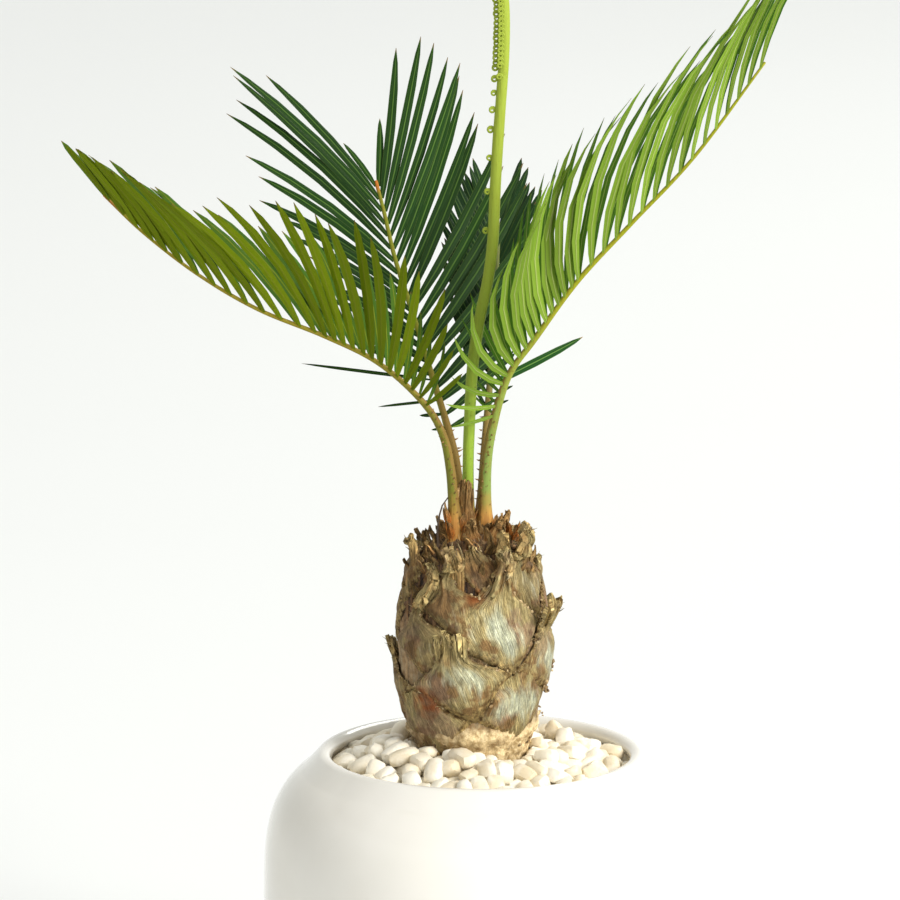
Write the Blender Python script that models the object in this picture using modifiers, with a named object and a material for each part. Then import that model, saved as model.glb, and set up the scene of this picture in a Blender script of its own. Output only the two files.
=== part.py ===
"""Potted sago palm: a scaly trunk with five fronds, planted in an egg-shaped glazed pot.

Metres, +Z up. The origin is the centre of the pot's foot, on the surface that it stands on.
The fronds spread along X, the left one towards -X, and the rear ones lean towards +Y.
"""
import math
import random

import bmesh
import bpy
from mathutils import Vector

MM = 0.001
GAP = 0.3 * MM                     # clearance between pieces that touch
TURNED_STEPS = 40                  # facets round the pot, the soil and the pebbles

# Pot
POT_HEIGHT = 105 * MM
POT_RADIUS = 63.2 * MM             # at its waist
POT_WAIST = 59 * MM                # height of the waist
POT_SHOULDER = 48.5 * MM           # reach of the curve from the waist up to the lip
POT_TAPER = 67.5 * MM              # reach of the curve from the waist down to the foot
POT_WALL = 4 * MM
POT_FLOOR = 6 * MM
LIP_RADIUS = 2.4 * MM              # half the thickness of the rounded lip
MOUTH_RADIUS = 44 * MM
FOOT_CHAMFER = 1 * MM

# Filling
SOIL_TOP = 92.7 * MM
PEBBLES_AT_WALL = 99 * MM
PEBBLES_AT_TRUNK = 105.5 * MM
PEBBLE_BUMP = 1.1 * MM

# Trunk
TRUNK_X = -1.8 * MM                # the trunk stands a little off the pot's axis
TRUNK_STEPS = 28
CROWN_TOP = 171.5 * MM
ROOT_TAPER = 90                    # below this height, in millimetres, the root narrows to its tip
TRUNK_OUTLINE = [                  # height and radius under the leaf bases, from the root tip up
    (80, 0), (82, 6.5), (88, 12.5), (97, 16.2), (106, 17), (114, 18.4), (125, 20), (137, 20.5),
    (149, 19.2), (159, 16.8), (167, 14.4), (171.5, 13)]

# Leaf bases: rhombic scales on a spiral lattice
SCALE_COUNT = 19
SCALE_TURN = math.radians(-137.5)  # golden angle from one scale to the next
SCALE_RISE = 2.8 * MM
SCALE_START = (math.radians(-132.5), 109.5 * MM)
SCALE_THICKNESS = 3.8 * MM
SCALE_GAP = 0.05                   # share of a scale's width left as a groove
TONGUE_LIFT = 3.4 * MM
TONGUE_REACH = 3 * MM
SCALES_BOTTOM = 106.4 * MM         # no scale reaches lower, into the pebbles
SCALES_TOP = 170 * MM              # nor higher, onto the crown
CROWDING_ROOM = 11 * MM            # scales crowd together over this height at either end

# Bud scales round the stalks
BUD_COUNT = 7
BUD_RADIUS = 11.6 * MM
BUD_HEIGHT = 7.5 * MM
BUD_WIDTH = 6.4 * MM

# Fronds
STALK_WIDTH = 3.4 * MM
STALK_TIP_WIDTH = 1.3 * MM
STALK_STEPS = 6
LEAFY_END = 0.985                  # share of the stalk where the last leaflets grow
LEAFLET_WIDTH = 2.6 * MM
LEAFLET_LANE = 0.62                # most that a leaflet takes of the room between its neighbours
LEAFLET_THICKNESS = 0.5 * MM
LEAFLET_FOOT = 1.4 * MM            # length of a leaflet's foot along the stalk
LEAFLET_STEPS = 9
WIDEST_STEP = 4

# Each frond has the route of its stalk in millimetres, the direction that its upper face looks in,
# the share of the stalk that is bare, its pairs of leaflets, and two rows. A row's values are pairs
# of place along the row, 0 to 1, and value: angle from the stalk, rise towards the upper face,
# length in millimetres, and the share of the angle that is lost along the leaflet.
FRONDS = {
    "frond_left": dict(
        route=[(-7.4, -6, 171.8), (-10.3, -7, 189.8), (-17.9, -8, 207), (-29, -11, 218.2),
               (-44, -14, 226), (-62, -18, 233.6), (-78, -21, 243.2), (-92.4, -24, 254.6),
               (-103, -26, 265)],
        face=(0.5, 0, 1), bare=0.27, pairs=28,
        left=dict(angle=[(0, 96), (0.12, 90), (0.3, 60), (0.5, 38), (0.8, 26), (1, 18)],
                  rise=[(0, 45), (0.3, 58), (1, 58)],
                  length=[(0, 24), (0.2, 40), (0.6, 49), (0.8, 43), (1, 28)],
                  bend=[(0, 0.1), (1, 0.35)]),
        right=dict(angle=[(0, 74), (0.2, 54), (0.5, 31), (0.8, 23), (1, 16)],
                   rise=[(0, 60), (1, 62)],
                   length=[(0, 22), (0.2, 34), (0.5, 46), (0.8, 41), (1, 28)],
                   bend=[(0, 0.25), (1, 0.35)])),
    "frond_right": dict(
        route=[(1, 0, 171.8), (1.5, -1, 186.8), (3.2, -2, 198.7), (7.7, -4, 213.8),
               (15, -6, 224.4), (27.1, -9, 241.2), (41.6, -12, 257.1), (58.8, -16, 275.8),
               (77.2, -20, 301.1)],
        face=(-0.5, 0, 1), bare=0.2, pairs=36,
        left=dict(angle=[(0, 80), (0.2, 56), (0.4, 40), (1, 18)],
                  rise=[(0, 58), (1, 62)],
                  length=[(0, 12), (0.1, 30), (0.2, 44), (0.5, 52), (0.7, 50), (1, 30)],
                  bend=[(0, 0.1), (0.2, 0.35), (1, 0.25)]),
        right=dict(angle=[(0, 112), (0.06, 100), (0.12, 76), (0.21, 60), (0.5, 37), (1, 19)],
                   rise=[(0, 45), (0.3, 58), (1, 58)],
                   length=[(0, 16), (0.06, 22), (0.15, 42), (0.4, 54), (0.7, 50), (1, 30)],
                   bend=[(0, 0.1), (0.12, 0.9), (0.4, 0.45), (1, 0.2)])),
    "frond_back": dict(
        route=[(-5.9, 6, 171.8), (-6.8, 8, 185.7), (-9.1, 12, 196.4), (-14.7, 21, 214),
               (-20.8, 32, 232.7), (-25.5, 41, 246.5), (-29, 49, 260.4), (-31.6, 54, 269.8)],
        face=(0.45, -1, 0.3), bare=0.24, pairs=28,
        left=dict(angle=[(0, 96), (0.13, 90), (0.18, 62), (0.6, 56), (0.9, 52), (1, 40)],
                  rise=[(0, 6), (1, 10)],
                  length=[(0, 16), (0.08, 22), (0.11, 50), (0.4, 62), (0.88, 68), (1, 18)],
                  bend=[(0, 0.05), (1, 0.1)]),
        right=dict(angle=[(0, 66), (0.15, 46), (0.4, 37), (0.9, 24), (1, 15)],
                   rise=[(0, 10), (1, 16)],
                   length=[(0, 18), (0.08, 36), (0.3, 60), (0.75, 68), (0.95, 48), (1, 20)],
                   bend=[(0, 0.15), (1, 0.2)])),
    "frond_rear": dict(
        route=[(0.4, 7.6, 171.8), (1, 10.5, 185.4), (2, 17, 198), (3.4, 30, 213.3),
               (4.8, 46, 229), (6, 64, 243.8), (7, 80, 256.2)],
        face=(-0.1, -1, 0.45), bare=0.3, pairs=22,
        left=dict(angle=[(0, 44), (0.4, 36), (1, 22)],
                  rise=[(0, 10), (1, 20)],
                  length=[(0, 18), (0.3, 36), (0.7, 38), (1, 22)],
                  bend=[(0, 0.2), (1, 0.2)]),
        right=dict(angle=[(0, 74), (0.1, 70), (0.2, 46), (0.4, 38), (1, 20)],
                   rise=[(0, 4), (1, 20)],
                   length=[(0, 44), (0.06, 44), (0.12, 26), (0.3, 36), (0.7, 40), (1, 24)],
                   bend=[(0, 0), (0.3, 0.2), (1, 0.2)])),
    "frond_young": dict(
        route=[(-3.6, 0, 171.8), (-3.6, 0, 186.7), (-3.3, 0, 198.2), (-2.4, 0, 215.5),
               (-0.4, 0, 229.8), (2, 0, 241.2), (3.4, 0, 252.5), (4, 0, 266.6), (4.8, 0, 280.7),
               (5.6, 0, 291.9), (6.4, 0, 304.4), (6.4, 0, 318.3), (4.9, 0, 329)],
        face=(-1, 0, 0.1), bare=0.62, pairs=26,
        left=dict(angle=[(0, 80)], rise=[(0, 12)], length=[(0, 2.4)], bend=[(0, 0.2)]),
        right=dict(angle=[(0, 80)], rise=[(0, 12)], length=[(0, 2.4)], bend=[(0, 0.2)])),
}
FOLDED_SIZE = 1.2 * MM             # width and thickness of a folded leaflet on the young frond


def clear_scene():
    for old in list(bpy.data.objects):
        bpy.data.objects.remove(old)


def collection(name):
    made = bpy.data.collections.new(name)
    bpy.context.scene.collection.children.link(made)
    return made


def material(name, colour, roughness, metallic=0.0):
    made = bpy.data.materials.new(name)
    made.use_nodes = True
    shader = made.node_tree.nodes["Principled BSDF"]
    shader.inputs["Base Color"].default_value = (*colour, 1)
    shader.inputs["Roughness"].default_value = roughness
    shader.inputs["Metallic"].default_value = metallic
    return made


def add_object(name, mesh, finish, group):
    piece = bpy.data.objects.new(name, mesh)
    if finish:
        mesh.materials.append(finish)
    group.objects.link(piece)
    return piece


# ---------------------------------------------------------------- turned pieces

def turned(name, profile, finish, group, steps=TURNED_STEPS):
    """A solid of revolution: a profile of (radius, height), down its outer side, and a Screw."""
    mesh = bpy.data.meshes.new(name)
    edges = [(k, k + 1) for k in range(len(profile) - 1)]
    mesh.from_pydata([(radius, 0, height) for radius, height in profile], edges, [])
    piece = add_object(name, mesh, finish, group)
    screw = piece.modifiers.new("turn", "SCREW")
    screw.steps = steps
    screw.render_steps = steps
    screw.use_merge_vertices = True
    screw.merge_threshold = 0.00001
    screw.use_smooth_shade = True
    return piece


def egg_curve(radius, reach, power, start, end, count):
    """Points (radius, height) on one half of the egg, from angle start to end above the waist."""
    points = []
    for k in range(count + 1):
        angle = math.radians(start + (end - start) * k / count)
        out = radius * math.cos(angle) ** (2 / power)
        rise = reach * abs(math.sin(angle)) ** (2 / power)
        points.append((out, POT_WAIST + math.copysign(rise, angle)))
    return points


def egg_wall(radius, shoulder, taper, top, bottom):
    """The egg-shaped wall from its shoulder down to its foot."""
    upper = egg_curve(radius, shoulder, 4.3, top, 0, 5)
    lower = egg_curve(radius, taper, 2.4, 0, -bottom, 5)
    return upper + lower[1:]


def lip_arc(count):
    """The rounded lip, from inside the mouth over its crest to the outside."""
    centre = (MOUTH_RADIUS + LIP_RADIUS, POT_HEIGHT - LIP_RADIUS)
    points = []
    for k in range(count + 1):
        angle = math.pi * (1 - k / count)
        points.append((centre[0] + LIP_RADIUS * math.cos(angle),
                       centre[1] + LIP_RADIUS * math.sin(angle)))
    return points


def inner_wall(clearance=0.0):
    """The pot's inner wall from under the lip down to its floor."""
    wall = egg_wall(POT_RADIUS - POT_WALL, POT_SHOULDER - POT_WALL, POT_TAPER - 3 * MM, 50, 56)
    return [(radius - clearance, height) for radius, height in wall]


def make_pot(group):
    outer = egg_wall(POT_RADIUS, POT_SHOULDER, POT_TAPER, 47.8, 57.4)
    foot = outer[-1][0] - FOOT_CHAMFER
    profile = [(0, POT_FLOOR)]
    profile += list(reversed(inner_wall()))
    profile += lip_arc(6)
    profile += outer
    profile += [(foot, 0), (0, 0)]
    glaze = material("glaze", (0.86, 0.86, 0.84), 0.12)
    return turned("pot", profile, glaze, group)


def cut(piece, cutter):
    """Take the cutter's shape out of the piece."""
    boolean = piece.modifiers.new("cut", "BOOLEAN")
    boolean.operation = "DIFFERENCE"
    boolean.solver = "EXACT"
    boolean.object = cutter


def make_soil(group, root_cutter):
    wall = [point for point in inner_wall(GAP * 1.5) if point[1] < SOIL_TOP - MM]
    top = wall[0][0] - 1.2 * MM
    bottom = POT_FLOOR + GAP
    profile = [(0, SOIL_TOP), (top, SOIL_TOP)]
    profile += wall[:-1]
    profile += [(wall[-1][0] - GAP, bottom), (0, bottom)]
    soil = turned("soil", profile, material("soil", (0.05, 0.032, 0.02), 0.95), group)
    cut(soil, root_cutter)
    return soil


def make_pebble_bed(group, root_cutter):
    """The layer of pebbles: it rises from the wall to the trunk, with a lumpy top."""
    bottom = SOIL_TOP + GAP
    rings = 7
    inner, outer = 8 * MM, MOUTH_RADIUS - 0.6 * MM
    profile = [(0, PEBBLES_AT_TRUNK)]
    for k in range(rings + 1):
        share = k / rings
        height = PEBBLES_AT_TRUNK + (PEBBLES_AT_WALL - PEBBLES_AT_TRUNK) * share ** 1.2
        profile.append((inner + (outer - inner) * share, height))
    profile += [(MOUTH_RADIUS + 2.6 * MM, 98 * MM), (MOUTH_RADIUS + 6.5 * MM, bottom), (0, bottom)]
    bed = turned("pebble_bed", profile, material("pebbles", (0.8, 0.77, 0.7), 0.5), group)
    finished = bed.evaluated_get(bpy.context.evaluated_depsgraph_get())
    settled = bpy.data.meshes.new_from_object(finished)
    rnd = random.Random(11)
    for vert in settled.vertices:
        radius = math.hypot(vert.co.x, vert.co.y)
        if vert.co.z > 98.5 * MM and radius < MOUTH_RADIUS - MM and radius > inner:
            vert.co.z += rnd.uniform(-1, 1) * PEBBLE_BUMP
    bed.modifiers.clear()
    bed.data = settled
    cut(bed, root_cutter)
    return bed


# ---------------------------------------------------------------- trunk and its scales

def at(knots, place):
    """The value at a place in a list of (place, value) pairs, straight between them."""
    if place <= knots[0][0]:
        return knots[0][1]
    for (low, first), (high, second) in zip(knots, knots[1:]):
        if place <= high:
            return first + (second - first) * (place - low) / (high - low)
    return knots[-1][1]


def trunk_radius(height):
    return at(TRUNK_OUTLINE, height / MM) * MM


def trunk_profile(clearance):
    """The trunk's outline from the crown down its outer side to the root tip."""
    profile = [(0, CROWN_TOP)]
    for height, radius in reversed(TRUNK_OUTLINE):
        drop = clearance if height < ROOT_TAPER else 0
        out = clearance if radius else 0
        profile.append((radius * MM + out, height * MM - drop))
    return profile


def make_trunk(group):
    bark = material("bark", (0.17, 0.12, 0.075), 0.9)
    trunk = turned("trunk", trunk_profile(0), bark, group, TRUNK_STEPS)
    trunk.location.x = TRUNK_X
    return trunk


def make_root_cutter(cutters):
    cutter = turned("root_cutter", trunk_profile(GAP), None, cutters, TRUNK_STEPS)
    cutter.location.x = TRUNK_X
    cutter.hide_render = True
    cutter.display_type = "WIRE"
    return cutter


def crowded(height):
    """Heights near either end are drawn together, so that every scale stays between the ends."""
    over = height - (SCALES_TOP - CROWDING_ROOM)
    if over > 0:
        return SCALES_TOP - CROWDING_ROOM * math.exp(-over / CROWDING_ROOM)
    under = SCALES_BOTTOM + CROWDING_ROOM - height
    if under > 0:
        return SCALES_BOTTOM + CROWDING_ROOM * math.exp(-under / CROWDING_ROOM)
    return height


def on_trunk(angle, height, lift):
    radius = trunk_radius(height) + lift
    return Vector((TRUNK_X + radius * math.cos(angle), radius * math.sin(angle), height))


def smooth(share):
    share = min(1, max(0, share))
    return share * share * (3 - 2 * share)


def lattice_step(count):
    """Turn and rise over a number of scales, with the turn brought to the shortest way round."""
    turn = count * SCALE_TURN
    turn -= 2 * math.pi * round(turn / (2 * math.pi))
    return turn, count * SCALE_RISE


def make_leaf_base(index, finish, group):
    """A scale: a rhombus between its neighbours on the spiral, with a raised tongue at its top."""
    turn, rise = index * SCALE_TURN, index * SCALE_RISE
    sides = lattice_step(3), lattice_step(5)
    bm = bmesh.new()
    bmesh.ops.create_grid(bm, x_segments=5, y_segments=5, size=0.5)
    span = 2 * max(vert.co.x for vert in bm.verts)
    rnd = random.Random(100 + index)
    lean = rnd.uniform(0.75, 1.15)
    weights = []
    for vert in bm.verts:
        a, b = vert.co.x / span, vert.co.y / span
        weights.append(0.3 + 0.7 * (1 - (2 * a) ** 2) * (1 - (2 * b) ** 2))
        up = a + b
        a, b = a * (1 - SCALE_GAP), b * (1 - SCALE_GAP)
        angle = SCALE_START[0] + turn + a * sides[0][0] + b * sides[1][0]
        height = SCALE_START[1] + rise + a * sides[0][1] + b * sides[1][1]
        height += TONGUE_REACH * smooth((up - 0.6) / 0.4)
        lift = GAP + TONGUE_LIFT * lean * smooth((up - 0.3) / 0.6)
        vert.co = on_trunk(angle, crowded(height), lift)
    for face in bm.faces:
        centre = face.calc_center_median()
        face.normal_update()
        if face.normal.dot(Vector((centre.x - TRUNK_X, centre.y, 0))) < 0:
            face.normal_flip()
    name = f"leaf_base_{index + 1:02d}"
    mesh = bpy.data.meshes.new(name)
    bm.to_mesh(mesh)
    bm.free()
    scale = add_object(name, mesh, finish, group)
    thick = scale.vertex_groups.new(name="thickness")
    for vert, weight in enumerate(weights):
        thick.add([vert], weight, "REPLACE")
    shell = scale.modifiers.new("shell", "SOLIDIFY")
    shell.thickness = SCALE_THICKNESS
    shell.offset = 1
    shell.vertex_group = "thickness"
    mesh.shade_smooth()
    return scale


def make_leaf_bases(group):
    finish = material("leaf_base", (0.24, 0.2, 0.12), 0.8)
    for index in range(SCALE_COUNT):
        make_leaf_base(index, finish, group)


def make_bud_scale(index, finish, group):
    """A pointed scale that stands on the crown's edge and leans out."""
    bm = bmesh.new()
    bmesh.ops.create_grid(bm, x_segments=2, y_segments=4, size=0.5)
    span = 2 * max(vert.co.x for vert in bm.verts)
    rnd = random.Random(index)
    tall = BUD_HEIGHT * rnd.uniform(0.75, 1.1)
    turn = 2 * math.pi * (index + 0.3 * rnd.random()) / BUD_COUNT
    for vert in bm.verts:
        across, up = vert.co.x / span, vert.co.y / span + 0.5
        width = BUD_WIDTH * (1 - 0.88 * up ** 1.6)
        angle = turn + across * width / BUD_RADIUS
        radius = BUD_RADIUS + 2.2 * MM * up ** 2
        vert.co = (TRUNK_X + radius * math.cos(angle), radius * math.sin(angle),
                   CROWN_TOP + GAP + up * tall)
    name = f"bud_scale_{index + 1:02d}"
    mesh = bpy.data.meshes.new(name)
    bm.to_mesh(mesh)
    bm.free()
    scale = add_object(name, mesh, finish, group)
    shell = scale.modifiers.new("shell", "SOLIDIFY")
    shell.thickness = 1.1 * MM
    shell.offset = 0
    mesh.shade_smooth()
    return scale


def make_bud_scales(group):
    finish = material("bud_scale", (0.36, 0.19, 0.07), 0.85)
    for index in range(BUD_COUNT):
        make_bud_scale(index, finish, group)


# ---------------------------------------------------------------- fronds

def smooth_route(points, pieces=24):
    """A smooth curve through the points, as many short steps (Catmull-Rom)."""
    points = [Vector(point) * MM for point in points]
    points = [2 * points[0] - points[1]] + points + [2 * points[-1] - points[-2]]
    route = []
    for p0, p1, p2, p3 in zip(points, points[1:], points[2:], points[3:]):
        for k in range(pieces):
            t = k / pieces
            route.append(0.5 * (2 * p1 + (p2 - p0) * t + (2 * p0 - 5 * p1 + 4 * p2 - p3) * t * t
                                + (3 * p1 - p0 - 3 * p2 + p3) * t ** 3))
    route.append(points[-2])
    return route


class Stalk:
    """The frond's midrib as a curve, with its direction, upper face and right side at any place."""

    def __init__(self, plan):
        self.route = smooth_route(plan["route"])
        self.face = Vector(plan["face"])
        self.bare = plan["bare"]
        self.marks = [0.0]
        for first, second in zip(self.route, self.route[1:]):
            self.marks.append(self.marks[-1] + (second - first).length)
        self.length = self.marks[-1]

    def point(self, share):
        distance = min(1, max(0, share)) * self.length
        for k in range(len(self.marks) - 1):
            if distance <= self.marks[k + 1]:
                part = (distance - self.marks[k]) / (self.marks[k + 1] - self.marks[k])
                return self.route[k].lerp(self.route[k + 1], part)
        return self.route[-1]

    def frame(self, share):
        """The direction along the stalk, the upper face's and the right side's."""
        along = (self.point(share + 0.01) - self.point(share - 0.01)).normalized()
        if share == 0:
            along = Vector((0, 0, 1))
        upper = (self.face - self.face.dot(along) * along).normalized()
        return along, upper, along.cross(upper)

    def half_width(self, share):
        return (STALK_WIDTH + (STALK_TIP_WIDTH - STALK_WIDTH) * share) / 2

    def section(self, share):
        """Four corners of the stalk's section, ordered round it from the right side's top."""
        along, upper, right = self.frame(share)
        half = self.half_width(share)
        high = half * (0.9 - 0.35 * min(1, share / self.bare))
        centre = self.point(share)
        corners = ((1, 1), (-1, 1), (-1, -1), (1, -1))
        return [centre + half * x * right + high * y * upper for x, y in corners]


def leaflet_line(stalk, share, side, row, place):
    """Points along a leaflet, and the direction that it grows in at each of them."""
    along, upper, right = stalk.frame(share)
    angle = math.radians(at(row["angle"], place))
    rise = math.radians(at(row["rise"], place))
    step = at(row["length"], place) * MM / LEAFLET_STEPS
    bend = at(row["bend"], place)
    out = math.cos(rise) * side * right + math.sin(rise) * upper
    ways = []
    for k in range(LEAFLET_STEPS + 1):
        turned_by = angle * (1 - bend * k / LEAFLET_STEPS)
        ways.append(math.cos(turned_by) * along + math.sin(turned_by) * out)
    points = [stalk.point(share) + side * right * stalk.half_width(share)]
    for way in ways[:-1]:
        points.append(points[-1] + way * step)
    return points, ways


def grow_leaflet(bm, foot, stalk, share, line, size):
    """Extrude a leaflet from its foot, a side face of the stalk, in two steps to its tip."""
    along, upper, _ = stalk.frame(share)
    centre = foot.calc_center_median()
    roles = [(math.copysign(1, (vert.co - centre).dot(along)),
              math.copysign(1, (vert.co - centre).dot(upper))) for vert in foot.verts]
    points, ways = line
    width, thickness = size
    end = foot
    for step, swell in ((WIDEST_STEP, 1.0), (LEAFLET_STEPS, 0.25)):
        end = bmesh.ops.extrude_discrete_faces(bm, faces=[end])["faces"][0]
        edge = (along - along.dot(ways[step]) * ways[step]).normalized()
        normal = edge.cross(ways[step])
        if normal.dot(upper) < 0:
            normal.negate()
        for vert, (lengthwise, upward) in zip(end.verts, roles):
            vert.co = (points[step] + edge * lengthwise * swell * width / 2
                       + normal * upward * max(swell, 0.5) * thickness / 2)


def make_frond(name, plan, finish, group, size):
    """One frond: a tapering stalk with leaflets that grow from its two sides."""
    stalk = Stalk(plan)
    half_foot = LEAFLET_FOOT / 2 / stalk.length
    spacing = (LEAFY_END - plan["bare"]) / (plan["pairs"] - 1)
    places = [plan["bare"] + spacing * pair for pair in range(plan["pairs"])]
    shares = [plan["bare"] * 0.97 * k / STALK_STEPS for k in range(STALK_STEPS)]
    for share in places:
        shares += [share - half_foot, share + half_foot]
    shares.append(shares[-1] + half_foot)
    bm = bmesh.new()
    rings = [[bm.verts.new(corner) for corner in stalk.section(share)] for share in shares]
    feet = {}
    for k, (ring, following) in enumerate(zip(rings, rings[1:])):
        for j in range(4):
            nxt = (j + 1) % 4
            feet[k, j] = bm.faces.new((ring[j], following[j], following[nxt], ring[nxt]))
    bm.faces.new(rings[0])
    bm.faces.new(list(reversed(rings[-1])))
    for pair, share in enumerate(places):
        place = pair / (plan["pairs"] - 1)
        for side, j, row in ((-1, 1, plan["left"]), (1, 3, plan["right"])):
            lane = spacing * stalk.length * math.sin(math.radians(at(row["angle"], place)))
            width = min(size[0], LEAFLET_LANE * lane)
            line = leaflet_line(stalk, share, side, row, place)
            grow_leaflet(bm, feet[STALK_STEPS + 2 * pair, j], stalk, share, line, (width, size[1]))
    mesh = bpy.data.meshes.new(name)
    bm.to_mesh(mesh)
    bm.free()
    return add_object(name, mesh, finish, group)


def make_fronds(group):
    green = material("leaf", (0.09, 0.17, 0.03), 0.45)
    shoot = material("shoot", (0.3, 0.36, 0.07), 0.5)
    for name, plan in FRONDS.items():
        if name == "frond_young":
            make_frond(name, plan, shoot, group, (FOLDED_SIZE, FOLDED_SIZE))
        else:
            make_frond(name, plan, green, group, (LEAFLET_WIDTH, LEAFLET_THICKNESS))


def main():
    clear_scene()
    parts = collection("potted_sago_palm")
    cutters = collection("cutters")
    root_cutter = make_root_cutter(cutters)
    make_pot(parts)
    make_soil(parts, root_cutter)
    make_pebble_bed(parts, root_cutter)
    make_trunk(parts)
    make_leaf_bases(parts)
    make_bud_scales(parts)
    make_fronds(parts)


main()
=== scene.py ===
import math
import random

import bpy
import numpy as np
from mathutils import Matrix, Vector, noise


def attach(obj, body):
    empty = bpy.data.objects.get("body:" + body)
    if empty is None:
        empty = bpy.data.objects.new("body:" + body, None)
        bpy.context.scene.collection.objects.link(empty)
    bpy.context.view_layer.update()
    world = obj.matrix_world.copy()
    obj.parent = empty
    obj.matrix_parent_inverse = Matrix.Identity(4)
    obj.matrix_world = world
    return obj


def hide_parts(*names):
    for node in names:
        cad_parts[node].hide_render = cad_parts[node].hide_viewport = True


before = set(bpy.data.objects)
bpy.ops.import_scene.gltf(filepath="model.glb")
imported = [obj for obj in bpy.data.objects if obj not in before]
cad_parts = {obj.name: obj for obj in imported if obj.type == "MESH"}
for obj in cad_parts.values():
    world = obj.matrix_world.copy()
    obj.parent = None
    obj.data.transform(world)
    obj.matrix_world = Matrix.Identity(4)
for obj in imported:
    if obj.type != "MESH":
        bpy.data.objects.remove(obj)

# %% [markdown]
# # A potted sago palm
# A young sago palm stands in an egg-shaped glazed pot, on a bed of cream pebbles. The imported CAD
# model is the fixed frame: it says where every piece is and how big it may be. This lesson builds
# the looks round it, piece by piece, in metres, with +Z up and the pot's foot at the origin.
#
# All the pieces ride on the one body, "root", because nothing on the plant is jointed.

MM = 0.001
scene = bpy.context.scene
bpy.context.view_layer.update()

# %% [markdown]
# ## Small helpers
# An operator acts on everything that is selected, and the loaded CAD nodes come in selected. So
# each step starts from an empty selection. A finished piece has its place written into its mesh,
# takes its material, rides on the body and stands for its CAD node.

# %% Selecting
def deselect_all():
    if bpy.context.object and bpy.context.object.mode != "OBJECT":
        bpy.ops.object.mode_set(mode="OBJECT")
    bpy.ops.object.select_all(action="DESELECT")


def make_active(*pieces):
    deselect_all()
    for piece in pieces:
        piece.select_set(True)
    bpy.context.view_layer.objects.active = pieces[0]
    return pieces[0]


print(len(bpy.context.selected_objects), "objects came in selected")
deselect_all()


# %% Joining and copying
def write_place(*pieces):
    """Writes the pieces' place, turn and size into their meshes."""
    make_active(*pieces)
    bpy.ops.object.transform_apply(location=True, rotation=True, scale=True)


def join(pieces):
    """The first piece takes in all the others."""
    make_active(*pieces)
    bpy.ops.object.join()
    return bpy.context.object


def add_piece(name, data):
    piece = bpy.data.objects.new(name, data)
    scene.collection.objects.link(piece)
    return make_active(piece)


def own_copy(sample):
    """A copy with its own mesh."""
    piece = sample.copy()
    piece.data = sample.data.copy()
    scene.collection.objects.link(piece)
    return piece


def join_copies(copies, samples):
    """Removes the samples and makes one piece of their placed copies."""
    for sample in samples:
        bpy.data.objects.remove(sample)
    write_place(*copies)
    return join(copies)


print("nodes of the CAD model:", len(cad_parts))


# %% Values on a mesh, and finishing a piece
def set_values(piece, name, values):
    """A number for each vertex, which a material can read."""
    layer = piece.data.attributes.new(name, "FLOAT", "POINT")
    layer.data.foreach_set("value", np.asarray(values, np.float32))


def set_map(piece, marks):
    """Each vertex gets its mark, a pair of numbers, as its place on the map."""
    layer = piece.data.uv_layers.active.data
    for loop in piece.data.loops:
        layer[loop.index].uv = marks[loop.vertex_index]


def thicken(piece, thickness):
    """Makes a sheet solid, with the thickness (mm) on its inner side."""
    shell = piece.modifiers.new("shell", "SOLIDIFY")
    shell.thickness = thickness * MM
    shell.offset = -1
    make_active(piece)
    bpy.ops.object.modifier_apply(modifier=shell.name)
    return piece


def finish_piece(piece, name, materials, nodes=(), sharp_from=180):
    """Smooth shading stops at edges that turn by more than sharp_from degrees."""
    write_place(piece)
    piece.name = piece.data.name = name
    for material in materials:
        piece.data.materials.append(material)
    bpy.ops.object.shade_smooth_by_angle(angle=math.radians(sharp_from))
    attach(piece, "root")
    if nodes:
        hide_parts(*nodes)
    print(f"{name}: {len(piece.data.polygons)} faces")


# %% Small sums
def value_at(knots, place):
    """The value at a place in a list of (place, value) pairs, straight between them."""
    return float(np.interp(place, [knot[0] for knot in knots], [knot[1] for knot in knots]))


def ease(share):
    """A smooth step from 0 to 1."""
    share = min(1, max(0, share))
    return share * share * (3 - 2 * share)


def lumps(x, y, z, drift=Vector()):
    """Smooth noise from -1 to 1; each drift gives other lumps."""
    return noise.noise(Vector((x, y, z)) + drift)


def around(turn, far, height, centre=0.0):
    """The point (mm) that is far out from the axis through x = centre, in the direction turn."""
    return Vector((centre + far * math.cos(turn), far * math.sin(turn), height))


print("helpers ready; an eased quarter is", round(ease(0.25), 3))

# %% [markdown]
# ## Camera and studio
# The camera looks a little down at the plant from the front. The studio is a wide round bowl,
# whose floor turns up into its wall without a corner, so that every view has the same pale
# backdrop. The walls are far behind the plant, and none of this belongs to the object.

# %% Camera
CAMERA_PLACE = (-0.0088, -0.631, 0.261)
CAMERA_TILT = 83.8
LENS, SENSOR = 88.4, 36
deselect_all()
bpy.ops.object.camera_add(location=CAMERA_PLACE, rotation=(math.radians(CAMERA_TILT), 0, 0))
camera = bpy.context.object
camera.data.sensor_width = SENSOR
camera.data.lens = LENS
scene.camera = camera
print("camera looks down by", round(90 - CAMERA_TILT, 1), "degrees, lens", LENS, "mm")

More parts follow.
